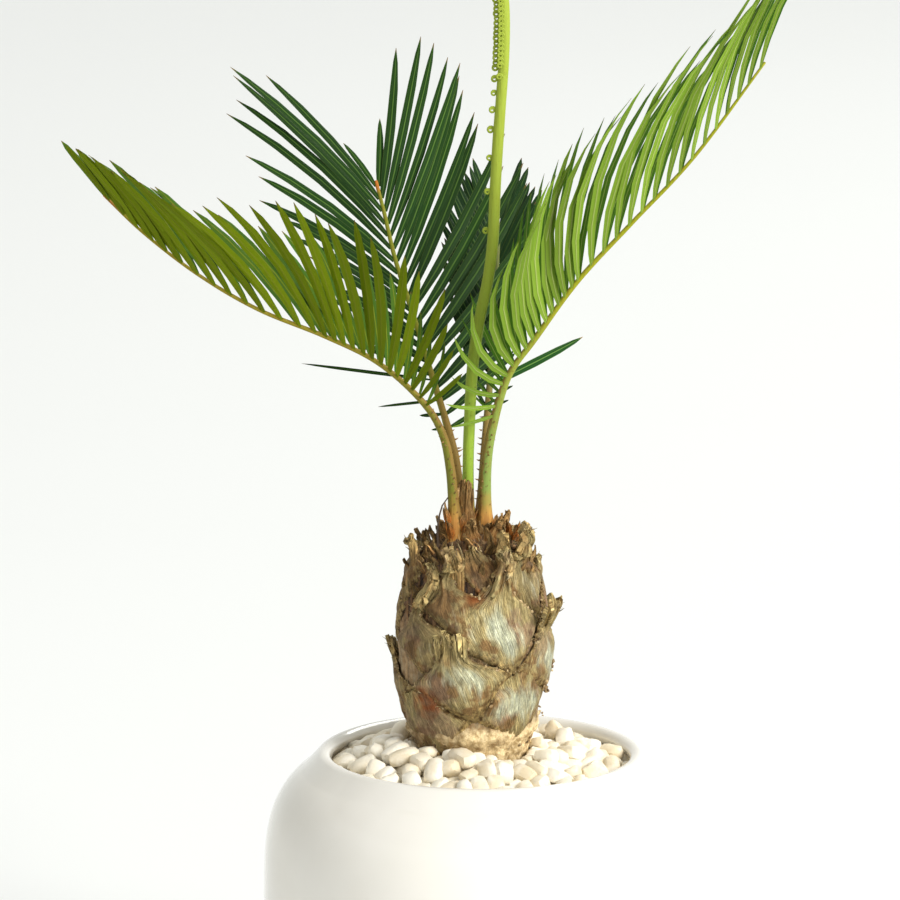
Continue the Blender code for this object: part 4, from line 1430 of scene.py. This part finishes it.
# %% Group for the blade
BLADE, given, out = new_group(
    "blade",
    {"Map": "Vector", "Tone": "Float", "Upper": "Color", "Lower": "Color", "Rib": "Color"},
    {"Color": "Color", "Lower side": "Float", "Rib": "Float"})
sideways, lengthways = parts(BLADE, given["Map"])[:2]
lower_side = maths(BLADE, "GREATER_THAN", sideways, 0.5)
across = maths(BLADE, "FRACT", times(BLADE, sideways, 2.0))
from_rib = maths(BLADE, "ABSOLUTE", maths(BLADE, "SUBTRACT", across, 0.5))
veins = clouds(BLADE, stretched(BLADE, given["Map"], (46, 1.2, 1)), 1.0, 2)
face = blend(BLADE, lower_side, given["Upper"], given["Lower"])
face = blend(BLADE, ranged(BLADE, veins, 0.35, 0.65, 0.0, 0.16), face, given["Rib"])
rib = ranged(BLADE, from_rib, 0.04, 0.1, 1, 0)
face = blend(BLADE, times(BLADE, rib, 0.8), face, given["Rib"])
edge = ranged(BLADE, from_rib, 0.43, 0.5, 0, 0.35)
face = blend(BLADE, edge, face, (0.16, 0.22, 0.05))
tip = ranged(BLADE, lengthways, 0.955, 0.995, 0, 0.9)
face = blend(BLADE, tip, face, (0.20, 0.11, 0.035))
bright = plus(BLADE, 0.74, times(BLADE, given["Tone"], 0.52))
plug(BLADE, blend(BLADE, 1.0, face, bright, "MULTIPLY"), out["Color"])
plug(BLADE, lower_side, out["Lower side"])
plug(BLADE, rib, out["Rib"])
print("the blade group gives:", [socket.name for socket in out if socket.name])


# %% Leaf finishes
def leaf_finish(name, upper, lower, rib, glow, through, shine):
    material, tree, shader = new_material(name, Specular_IOR_Level=shine)
    blade = use_group(tree, BLADE, Map=own_map(tree), Tone=attribute(tree, "tone"),
                      Upper=upper, Lower=lower, Rib=rib)
    mottle = patches(tree, own_place(tree), 130.0, 0.52, 0.2, 0.16)
    colour = blend(tree, mottle, blade["Color"], lower)
    plug(tree, colour, shader["Base Color"])
    plug(tree, plus(tree, 0.34, times(tree, blade["Lower side"], 0.2)), shader["Roughness"])
    vein = clouds(tree, stretched(tree, own_map(tree), (60, 1.0, 1)), 1.0, 2)
    relief = plus(tree, vein, times(tree, blade["Rib"], 1.5))
    plug(tree, bumped(tree, relief, 0.00012), shader["Normal"])
    glowing = node(tree, "BsdfTranslucent", {"Color": blend(tree, 0.75, colour, glow)})
    solid = tree.nodes["Principled BSDF"].outputs[0]
    mixed = node(tree, "MixShader", {0: through, 1: solid, 2: glowing})
    plug(tree, mixed, tree.nodes["Material Output"].inputs["Surface"])
    return material


# The open fronds take copies of one leaf finish. The left frond's olive is partly painted shade,
# and the right frond's lime partly painted light shining through the leaves.
LEAF_FINISHES = {
    "frond_left": leaf_finish("leaf_olive_painted_shade", (0.035, 0.115, 0.014), (0.18, 0.25, 0.004),
                              (0.23, 0.27, 0.02), (0.24, 0.36, 0.0), 0.25, 0.05),
    "frond_right": leaf_finish("leaf_lime_painted_backlight", (0.04, 0.16, 0.02), (0.25, 0.41, 0.035),
                               (0.55, 0.62, 0.2), (0.36, 0.60, 0.01), 0.4, 0.07),
    "frond_back": leaf_finish("leaf_dark", (0.005, 0.029, 0.004), (0.028, 0.07, 0.005),
                              (0.085, 0.17, 0.03), (0.04, 0.18, 0.005), 0.1, 0.07),
    "frond_rear": leaf_finish("leaf_deep", (0.004, 0.024, 0.006), (0.02, 0.06, 0.012),
                              (0.07, 0.14, 0.03), (0.02, 0.12, 0.01), 0.08, 0.06),
}
print("leaf finishes:", [finish.name for finish in LEAF_FINISHES.values()])

# %% [markdown]
# ## Stalk colours
# A stalk is orange and brown where it leaves the crown, then green, and more golden towards its
# tip. Its upper side keeps some of the brown scurf that covers a young stalk, and small brown
# spots are scattered over its lower part. Each stalk's mesh says how far along a spot is, and
# whether it looks up.

# %% Stalk finishes
FOOT_COLOURS = (0.25, 0.09, 0.02), (0.68, 0.36, 0.09)
SCURF, SPOT = (0.23, 0.135, 0.035), (0.13, 0.055, 0.015)


def stalk_finish(name, low, high, end, foot_colour, scurfy=0.85):
    """From low to high, with its own colour at the very end, and streaks of the foot's colour."""
    material, tree, shader = new_material(name, Roughness=0.55, Specular_IOR_Level=0.14)
    reach, place = attribute(tree, "reach"), own_place(tree)
    colour = blend(tree, ranged(tree, reach, 0.08, 0.5), low, high)
    colour = blend(tree, ranged(tree, reach, 0.95, 0.99), colour, end)
    streak = clouds(tree, stretched(tree, place, (1, 1, 0.12)), 1400.0, 3)
    colour = blend(tree, ranged(tree, streak, 0.4, 0.7, 0, 0.3), colour, foot_colour)
    wander = times(tree, clouds(tree, place, 300.0, 2), 0.008)
    high_up = maths(tree, "SUBTRACT", parts(tree, place)[2], wander)
    near_foot = ranged(tree, high_up, 0.168, 0.178, 1, 0)
    colour = blend(tree, near_foot, colour, blend(tree, streak, *FOOT_COLOURS))
    scurf = plus(tree, attribute(tree, "upper"), clouds(tree, place, 700.0, 3))
    scurf = times(tree, ranged(tree, scurf, 0.6, 1.0),
                  ranged(tree, reach, 0.2, 0.5, scurfy, 0.2 * scurfy))
    colour = blend(tree, scurf, colour, SCURF)
    marked = times(tree, patches(tree, place, 800.0, 0.64, 0.04),
                   ranged(tree, reach, 0.0, 0.45, 0.9, 0.15))
    colour = blend(tree, marked, colour, SPOT)
    plug(tree, colour, shader["Base Color"])
    plug(tree, bumped(tree, streak, 0.0002), shader["Normal"])
    return material


STALK_FINISHES = {
    "frond_left": stalk_finish("stalk_tan", (0.155, 0.165, 0.022), (0.27, 0.225, 0.018),
                               (0.36, 0.15, 0.03), (0.17, 0.085, 0.014)),
    "frond_right": stalk_finish("stalk_green", (0.20, 0.28, 0.06), (0.29, 0.31, 0.012),
                                (0.36, 0.36, 0.03), (0.26, 0.14, 0.025)),
    "frond_back": stalk_finish("stalk_yellow", (0.17, 0.145, 0.025), (0.19, 0.23, 0.015),
                               (0.50, 0.15, 0.02), (0.27, 0.14, 0.02)),
    "frond_rear": stalk_finish("stalk_dark", (0.16, 0.20, 0.05), (0.10, 0.15, 0.04),
                               (0.2, 0.12, 0.03), (0.12, 0.07, 0.02)),
    "frond_young": stalk_finish("shoot_green", (0.24, 0.37, 0.04), (0.32, 0.40, 0.045),
                                (0.32, 0.36, 0.06), (0.30, 0.34, 0.03), 0.12),
}
thorn_finish, tree, shader = new_material("thorn", Roughness=0.6)
streak = clouds(tree, own_place(tree), 1500.0, 3)
plug(tree, blend(tree, streak, (0.10, 0.045, 0.015), (0.42, 0.24, 0.08)), shader["Base Color"])
print("stalk finishes:", [finish.name for finish in STALK_FINISHES.values()])

# %% [markdown]
# ## One leaflet
# All the leaflets have the same make: a long flat blade with a sunken line along its top and a
# raised rib below. So one blade is modelled, one unit long and one wide. It starts as an
# eight-sided ring, which is flattened, given its groove and rib, and drawn out along the blade in
# six steps, wider and then narrower.

# %% Model the blade
BLADE_STEPS = [(0, 0.4), (0.07, 0.6), (0.22, 0.88), (0.46, 1.0), (0.72, 0.95), (0.9, 0.64),
               (1, 0.06)]
EDGE_HEIGHT, SHOULDER_SHARE = -0.05, 0.62
BLADE_HEIGHTS = {(True, True): 0.0, (True, False): 0.045, (False, True): -0.17,
                 (False, False): -0.035}  # by whether it is on top, and in the middle
deselect_all()
bpy.ops.mesh.primitive_circle_add(vertices=8, radius=0.5, fill_type="NGON",
                                  rotation=(math.radians(90), 0, 0))
blade = bpy.context.object
bpy.ops.object.transform_apply(location=False, rotation=True, scale=False)
for vert in blade.data.vertices:
    edge, middle = abs(vert.co.x) > 0.45, abs(vert.co.x) < 0.05
    vert.co.x *= 1.0 if edge or middle else SHOULDER_SHARE
    vert.co.z = EDGE_HEIGHT if edge else BLADE_HEIGHTS[vert.co.z > 0, middle]
bpy.ops.object.mode_set(mode="EDIT")
bpy.ops.mesh.select_all(action="SELECT")
bpy.ops.transform.resize(value=(BLADE_STEPS[0][1], 1, BLADE_STEPS[0][1]),
                         center_override=(0, 0, 0))
for (low, narrow), (far, wide) in zip(BLADE_STEPS, BLADE_STEPS[1:]):
    bpy.ops.mesh.extrude_region_move(TRANSFORM_OT_translate={"value": (0, far - low, 0)})
    bpy.ops.transform.resize(value=(wide / narrow, 1, (wide / narrow) ** 0.6),
                             center_override=(0, far, 0))
bpy.ops.mesh.select_all(action="SELECT")
bpy.ops.mesh.normals_make_consistent(inside=False)
bpy.ops.object.mode_set(mode="OBJECT")
print("blade:", len(blade.data.polygons), "faces")

# %% Its vertices, faces and map
BLADE_VERTS = [tuple(vert.co) for vert in blade.data.vertices]
BLADE_FACES = [list(face.vertices) for face in blade.data.polygons]
BLADE_MAP = []
for face in blade.data.polygons:
    on_top = face.normal.z > 0.02 or (face.normal.z > -0.02 and face.center.z > 0)
    for index in face.vertices:
        x, y = BLADE_VERTS[index][:2]
        share = 0.25 * x / max(0.02, value_at(BLADE_STEPS, y)) * 2
        BLADE_MAP.append((0.25 + share if on_top else 0.75 - share, y))
bpy.data.objects.remove(blade)
print("map:", len(BLADE_MAP), "corners")

# %% [markdown]
# ## Plans of the fronds
# The stalks follow the CAD model's routes, so that the looks and the collision solids agree. A
# plan has the route of the stalk and the way its upper face looks. An open frond also has the
# bare share of the stalk, the pairs of leaflets, and for each side the leaflets' angle, rise,
# length and bend as they change along the row. Spread moves pairs closer together along a part of
# the row. An odd leaflet has its own width, tone and shift along the stalk.

# %% Left and right fronds
FRONDS = {
    "frond_left": dict(
        route=[(-7.2, -6, 171.8), (-8.6, -6.6, 187), (-11, -7.2, 198), (-16.9, -8, 207.4),
               (-29.2, -11, 218.4), (-44, -14, 226), (-62, -18, 233.6), (-78, -21, 243.2),
               (-92.4, -24, 254.6), (-103, -26, 265)],
        face=(0.5, 0, 1), bare=0.25, pairs=27, spread=[(0, 0), (0.5, 0.36), (1, 1)],
        left=dict(angle=[(0, 84), (0.06, 74), (0.1, 68), (0.15, 61), (0.2, 58), (0.3, 54),
                         (0.38, 46), (0.5, 41), (0.6, 36), (0.75, 28), (1, 14)],
                  rise=[(0, 45), (0.3, 58), (1, 58)],
                  length=[(0, 20), (0.06, 30), (0.1, 43), (0.25, 48), (0.35, 50), (0.5, 49),
                          (0.65, 43), (0.8, 34), (1, 20)],
                  bend=[(0, 0.1), (0.28, 0.2), (0.42, 0.6), (1, 0.75)]),
        right=dict(angle=[(0, 74), (0.15, 60), (0.24, 46), (0.34, 42), (0.5, 39), (0.8, 25),
                          (1, 12)],
                   rise=[(0, 60), (1, 62)],
                   length=[(0, 20), (0.06, 26), (0.2, 38), (0.5, 46), (0.8, 35), (1, 20)],
                   bend=[(0, 0.25), (0.2, 0.2), (0.35, 0.5), (0.5, 0.7), (1, 0.75)])),
    "frond_right": dict(
        route=[(1, 0, 171.8), (1.5, -1, 186.8), (3.2, -2, 198.7), (7.7, -4, 213.8),
               (15, -6, 224.4), (27.1, -9, 241.2), (41.6, -12, 257.1), (58.8, -16, 275.8),
               (77.2, -20, 301.1)],
        face=(-0.5, 0, 1), bare=0.2, pairs=31, spread=[(0, 0), (0.5, 0.38), (1, 1)],
        left=dict(angle=[(0, 80), (0.2, 56), (0.4, 44), (1, 28)],
                  rise=[(0, 58), (1, 62)],
                  length=[(0, 12), (0.1, 30), (0.2, 46), (0.5, 59), (0.7, 59), (1, 38)],
                  bend=[(0, 0.1), (0.2, 0.5), (0.5, 0.95), (1, 1.1)]),
        right=dict(angle=[(0, 112), (0.06, 100), (0.12, 76), (0.21, 60), (0.5, 44), (1, 30)],
                   rise=[(0, 45), (0.3, 58), (1, 58)],
                   length=[(0, 16), (0.06, 22), (0.15, 42), (0.4, 57), (0.7, 58), (1, 38)],
                   bend=[(0, 0.1), (0.12, 0.9), (0.4, 0.85), (1, 1.1)])),
}
print("planned:", list(FRONDS))

# %% Back and rear fronds
FRONDS.update({
    "frond_back": dict(
        route=[(-5.9, 6, 171.8), (-6.8, 8, 185.7), (-9.1, 12, 196.4), (-14.7, 21, 214),
               (-20.8, 32, 232.7), (-25.5, 41, 246.5), (-29, 49, 260.4), (-31.6, 54, 269.8)],
        face=(0.45, -1, 0.3), bare=0.24, pairs=20,
        left=dict(angle=[(0, 96), (0.12, 88), (0.15, 80), (0.17, 80), (0.22, 50), (0.6, 39),
                         (0.9, 33), (1, 22)],
                  rise=[(0, 6), (1, 10)],
                  length=[(0, 5), (0.05, 7), (0.09, 21), (0.12, 21), (0.15, 40), (0.17, 40),
                          (0.2, 24), (0.26, 30), (0.4, 35), (0.52, 43), (0.66, 56), (0.76, 65),
                          (0.9, 67), (0.96, 46), (1, 18)],
                  bend=[(0, 0.05), (0.18, 0), (0.24, -0.45), (1, -0.6)],
                  odd={2: (0.4, 0.5, 0.0), 3: (0.34, 0.6, 0.022)}),
        right=dict(angle=[(0, 72), (0.15, 55), (0.4, 46), (0.65, 35), (0.9, 24), (1, 15)],
                   rise=[(0, 10), (1, 16)],
                   length=[(0, 18), (0.08, 40), (0.3, 70), (0.75, 76), (0.95, 58), (1, 24)],
                   bend=[(0, 0.15), (1, 0.2)])),
    "frond_rear": dict(
        route=[(0.4, 7.6, 171.8), (1, 10.5, 185.4), (2, 17, 198), (3.4, 30, 213.3),
               (4.8, 46, 229), (6, 64, 243.8), (7, 80, 256.2)],
        face=(-0.1, -1, 0.45), bare=0.3, pairs=19,
        left=dict(angle=[(0, 34), (0.4, 30), (1, 18)],
                  rise=[(0, 10), (1, 20)],
                  length=[(0, 12), (0.3, 36), (0.7, 46), (1, 34)],
                  bend=[(0, 0.2), (1, 0.2)]),
        right=dict(angle=[(0, 66), (0.1, 62), (0.2, 40), (0.4, 27), (1, 12)],
                   rise=[(0, 4), (1, 20)],
                   length=[(0, 6), (0.06, 8), (0.11, 31), (0.166, 10), (0.3, 22), (0.7, 40),
                           (1, 36)],
                   bend=[(0, 0), (0.3, 0.2), (1, 0.2)], odd={2: (1.0, 4.0, 0.0)})),
})
print("planned:", list(FRONDS))

# %% The young frond, and the leaflets' widths
FRONDS["frond_young"] = dict(
    route=[(-3.6, 0, 171.8), (-3.6, 0, 186.7), (-3.3, 0, 198.2), (-2.4, 0, 215.5),
           (-0.4, 0, 229.8), (2, 0, 241.2), (3.4, 0, 252.5), (4, 0, 266.6), (4.8, 0, 280.7),
           (5.6, 0, 291.9), (6.4, 0, 304.4), (6.4, 0, 318.3), (4.9, 0, 329)],
    face=(-1, 0, 0.1))
LEAFLET_WIDTHS = {"frond_left": 3.2, "frond_right": 3.3, "frond_back": 3.5, "frond_rear": 3.5}
TIP_TAPERS = {"frond_left": 0.0, "frond_right": 0.6, "frond_back": 0.25, "frond_rear": 0.25}
OUTER_SLIMMING = {"frond_left": 0.0, "frond_right": 0.36, "frond_back": 0.1, "frond_rear": 0.1}
print("leaflets:", {name: 2 * FRONDS[name]["pairs"] for name in LEAFLET_WIDTHS})

# %% [markdown]
# ## Following a stalk
# A smooth curve runs through the points of each route. At any share of its length it has a place,
# a direction, the side that looks up and the side that looks right.

# %% The stalk as a curve
def smooth_route(points, pieces=24):
    """Many short steps along a Catmull-Rom curve through the points, in metres."""
    points = [Vector(point) * MM for point in points]
    points = [2 * points[0] - points[1]] + points + [2 * points[-1] - points[-2]]
    route = []
    for p0, p1, p2, p3 in zip(points, points[1:], points[2:], points[3:]):
        for k in range(pieces):
            t = k / pieces
            route.append(0.5 * (2 * p1 + (p2 - p0) * t + (2 * p0 - 5 * p1 + 4 * p2 - p3) * t * t
                                + (3 * p1 - p0 - 3 * p2 + p3) * t ** 3))
    route.append(points[-2])
    return route


class Stalk:
    def __init__(self, plan):
        self.route = smooth_route(plan["route"])
        self.face = Vector(plan["face"])
        steps = [0] + [(b - a).length for a, b in zip(self.route, self.route[1:])]
        self.marks = np.cumsum(steps)
        self.length = float(self.marks[-1])

    def point(self, share):
        distance = min(1, max(0, share)) * self.length
        return Vector([np.interp(distance, self.marks, [spot[k] for spot in self.route])
                       for k in range(3)])

    def frame(self, share):
        """The direction along the stalk, the upper face's and the right side's."""
        along = (self.point(share + 0.01) - self.point(share - 0.01)).normalized()
        upper = (self.face - self.face.dot(along) * along).normalized()
        return along, upper, along.cross(upper)


STALKS = {name: Stalk(plan) for name, plan in FRONDS.items()}
print("stalk lengths in mm:", {name: round(each.length / MM) for name, each in STALKS.items()})

# %% [markdown]
# ## Leaflets on a stalk
# Each leaflet follows its own line: out from the stalk at the row's angle, rising to the upper
# face, and turning with the row's bend. The blade's points are carried onto that line. A small
# turn about the line lets neighbours overlap like shingles. A few still run into each other where
# a row is crowded. Small seeded differences in angle, length and tone keep the row from looking
# stamped.

# %% The line of a leaflet
SHINGLE = math.radians(17)
LEAFLET_PIECES = 20


def leaflet_line(stalk, share, side, row, place, rnd):
    """Points along the leaflet, and at each the ways of its edge and of its upper face."""
    along, upper, right = stalk.frame(share)
    angle = math.radians(value_at(row["angle"], place) + rnd.gauss(0, 1.3))
    rise = math.radians(value_at(row["rise"], place) + rnd.gauss(0, 2.0))
    length = value_at(row["length"], place) * MM * rnd.uniform(0.94, 1.04)
    bend = value_at(row["bend"], place) + rnd.gauss(0, 0.03)
    droop = rnd.gauss(0.05, 0.06)
    out = math.cos(rise) * side * right + math.sin(rise) * upper
    line = [stalk.point(share) + side * right * 0.5 * MM]
    ways = []
    for k in range(LEAFLET_PIECES + 1):
        y = k / LEAFLET_PIECES
        turned = angle * (1 - bend * y)
        way = math.cos(turned) * along + math.sin(turned) * out - droop * y * y * upper
        way.normalize()
        edge = (along - along.dot(way) * way).normalized()
        normal = edge.cross(way)
        if normal.dot(upper) < 0:
            normal.negate()
        shingle = SHINGLE * (1 - 0.4 * y)
        ways.append((math.cos(shingle) * edge + math.sin(shingle) * normal,
                     math.cos(shingle) * normal - math.sin(shingle) * edge))
        line.append(line[-1] + way * (length / LEAFLET_PIECES))
    return line, ways


print("a leaflet's line has", LEAFLET_PIECES, "short pieces")


# %% Carry a blade onto its line
def leaflet_points(line, ways, width, taper):
    """The blade's points, carried onto the line."""
    mirror = 1 if ways[0][0].cross(ways[0][1]).dot(line[1] - line[0]) < 0 else -1
    points = []
    for x, y, z in BLADE_VERTS:
        k = min(LEAFLET_PIECES - 1, int(y * LEAFLET_PIECES))
        part = y * LEAFLET_PIECES - k
        centre = line[k].lerp(line[k + 1], part)
        edge, normal = [ways[k][way].lerp(ways[k + 1][way], part) for way in (0, 1)]
        x *= mirror * (1 - taper * y * y)
        points.append(centre + (x * edge + z * normal) * width * MM)
    return points


def leaflet_slimness(name, row, place, odd):
    slim = min(1, 0.35 + value_at(row["length"], place) / 50)
    slim = slim * (0.62 + 0.38 * ease(place / 0.16)) * odd
    return slim * (1 - OUTER_SLIMMING[name] * ease((place - 0.3) / 0.6))


print("slimness half way up the right frond:",
      round(leaflet_slimness("frond_right", FRONDS["frond_right"]["left"], 0.5, 1), 2))

# %% Lay the blades
TIP_SHARE = 0.985
EVEN_SPREAD = [(0, 0), (1, 1)]


def lay_blades(name, stalk, plan, seed):
    rnd = random.Random(seed)
    points, faces, marks, tones = [], [], [], []
    for pair in range(plan["pairs"]):
        place = value_at(plan.get("spread", EVEN_SPREAD), pair / (plan["pairs"] - 1))
        share = plan["bare"] + (TIP_SHARE - plan["bare"]) * place
        for side, row in ((-1, plan["left"]), (1, plan["right"])):
            base = len(points)
            odd, tone, shift = row.get("odd", {}).get(pair, (1, rnd.random(), 0))
            slim = leaflet_slimness(name, row, place, odd)
            width = LEAFLET_WIDTHS[name] * slim * rnd.uniform(0.92, 1.06)
            spot = share + shift + rnd.gauss(0, 0.0012)
            line, ways = leaflet_line(stalk, spot, side, row, place, rnd)
            points += leaflet_points(line, ways, width, TIP_TAPERS[name])
            faces += [[base + k for k in face] for face in BLADE_FACES]
            marks += BLADE_MAP
            tones += [tone] * len(BLADE_VERTS)
    mesh = bpy.data.meshes.new(name)
    mesh.from_pydata(points, [], faces)
    mesh.uv_layers.new(name="blade").data.foreach_set("uv", np.array(marks, np.float32).ravel())
    piece = add_piece(name, mesh)
    set_values(piece, "tone", tones)
    return piece


print("rows of leaflets end at", TIP_SHARE, "of the stalk")

# %% [markdown]
# ## Stalks and their thorns
# A stalk is a tube that thins towards its tip and swells where it leaves the crown. Its bare part
# has short brown thorns along both edges, left over where no leaflets grew.

# %% Stalk with thorns
STALK_POINTS, ROOTED = 72, 7.5  # how many points a stalk has, and how deep its foot goes in mm
THORN_PAIRS = 11


def grow_stalk(name, stalk, widths):
    line = []
    for k in range(STALK_POINTS):
        share = k / (STALK_POINTS - 1)
        radius = value_at(widths, share) / 2
        radius += 1.0 * math.exp(-share * stalk.length / MM / 4)
        radius *= 1 + 0.05 * lumps(share * 14, widths[0][1], 0)
        line.append((stalk.point(share), radius))
    first = line[0][0] - Vector((0, 0, ROOTED * MM))
    piece = tubes(name, [[(first, line[0][1])] + line], 4)
    reaches, uppers = [], []
    for vert in piece.data.vertices:
        nearest = min(range(0, len(stalk.route), 3),
                      key=lambda k: (stalk.route[k] - vert.co).length_squared)
        reach = stalk.marks[nearest] / stalk.length
        reaches.append(reach)
        uppers.append((vert.co - stalk.route[nearest]).normalized().dot(stalk.frame(reach)[1]))
    set_values(piece, "reach", reaches)
    set_values(piece, "upper", uppers)
    return piece


def grow_thorns(name, stalk, bare, seed):
    rnd = random.Random(seed)
    lines = []
    for k in range(THORN_PAIRS):
        share = bare * (0.16 + 0.84 * (k + rnd.uniform(-0.3, 0.3)) / THORN_PAIRS)
        along, upper, right = stalk.frame(share)
        for side in (-1, 1):
            out = side * right + rnd.uniform(-0.5, 0.5) * upper + rnd.uniform(-0.1, 0.5) * along
            out.normalize()
            start = stalk.point(share) + out * 1.3 * MM
            long = rnd.uniform(0.7, 1.9) * MM
            lines.append([(start, 0.32), (start + out * long * 0.5, 0.2),
                          (start + (out + 0.15 * along) * long, 0.04)])
    return tubes(name, lines, 0)


print("each open stalk:", STALK_POINTS, "points,", 2 * THORN_PAIRS, "thorns")

# %% Grow the four open fronds
STALK_WIDTHS = {
    "frond_left": [(0, 3.2), (0.04, 3.0), (0.14, 2.6), (0.21, 2.1), (0.32, 1.55), (0.5, 1.3),
                   (1, 0.7)],
    "frond_right": [(0, 3.7), (0.04, 3.5), (0.15, 2.9), (0.24, 2.3), (0.32, 1.8), (0.5, 1.45),
                    (1, 0.7)],
    "frond_back": [(0, 3.1), (0.15, 2.6), (0.3, 2.0), (0.6, 1.6), (1, 1.1)],
    "frond_rear": [(0, 3.0), (0.3, 2.1), (0.6, 1.6), (1, 1.2)],
}
FIRST_BLADE_SEED, FIRST_THORN_SEED = 60, 80
for number, (name, widths) in enumerate(STALK_WIDTHS.items()):
    plan, stalk = FRONDS[name], STALKS[name]
    blades = lay_blades(name, stalk, plan, FIRST_BLADE_SEED + number)
    blades.data.materials.append(LEAF_FINISHES[name])
    stem = grow_stalk(name + "_stem", stalk, widths)
    stem.data.materials.append(STALK_FINISHES[name])
    thorns = grow_thorns(name + "_thorns", stalk, plan["bare"], FIRST_THORN_SEED + number)
    thorns.data.materials.append(thorn_finish)
    finish_piece(join([blades, stem, thorns]), name + "_green", [], [name], sharp_from=55)

# %% [markdown]
# ## The young shoot
# The youngest frond is still a bare yellow-green rod. Its leaflets are rolled up like watch
# springs in a row on its left side, a few at first and then close together towards the top, where
# a second row stands beside the first. Each coil is a tapered tube set on the rod.

# %% Rod and coils
COIL_TURNS, COIL_POINTS = 1.45, 15
ROD_WIDTHS = [(0, 3.2), (0.3, 3.3), (1, 3.0)]
LOW_COILS = [0.53, 0.6, 0.66, 0.71, 0.745, 0.775, 0.8]
CLOSE_FROM, CLOSE_TO, CLOSE_COILS, SECOND_ROW_FROM = 0.82, 0.995, 21, 0.78


def coil(centre, inward, upward, size):
    """A flat watch-spring of a tube, with its outer end on the rod."""
    line = []
    for k in range(COIL_POINTS):
        turn = 2 * math.pi * COIL_TURNS * k / (COIL_POINTS - 1)
        radius = size * (1 - 0.62 * k / (COIL_POINTS - 1))
        line.append((centre + (math.cos(turn) * inward + math.sin(turn) * upward) * radius * MM,
                     size * (0.4 - 0.06 * k / (COIL_POINTS - 1))))
    return line


stalk = STALKS["frond_young"]
rod = grow_stalk("frond_young_stem", stalk, ROD_WIDTHS)
rnd = random.Random(9)
lines = []
for share in LOW_COILS + list(np.linspace(CLOSE_FROM, CLOSE_TO, CLOSE_COILS)):
    along, upper, right = stalk.frame(share)
    size = rnd.uniform(0.85, 1.05) * (1 if share < 0.9 else 0.95)
    depth = rnd.uniform(-0.4, 0.4)
    centre = stalk.point(share) + (upper * (1.5 + 0.75 * size) + right * depth) * MM
    lines.append(coil(centre, (-upper).normalized(), along, size))
    if share > SECOND_ROW_FROM:
        centre = stalk.point(share + 0.004) + (upper * 1.0 + right * 1.5) * MM
        lines.append(coil(centre, (-upper).normalized(), along, size * 0.9))
coils = tubes("frond_young_coils", lines, 1)
for label, value in (("reach", 0.6), ("upper", 0)):
    set_values(coils, label, [value] * len(coils.data.vertices))
finish_piece(join([rod, coils]), "frond_young_green", [STALK_FINISHES["frond_young"]],
             ["frond_young"], sharp_from=70)
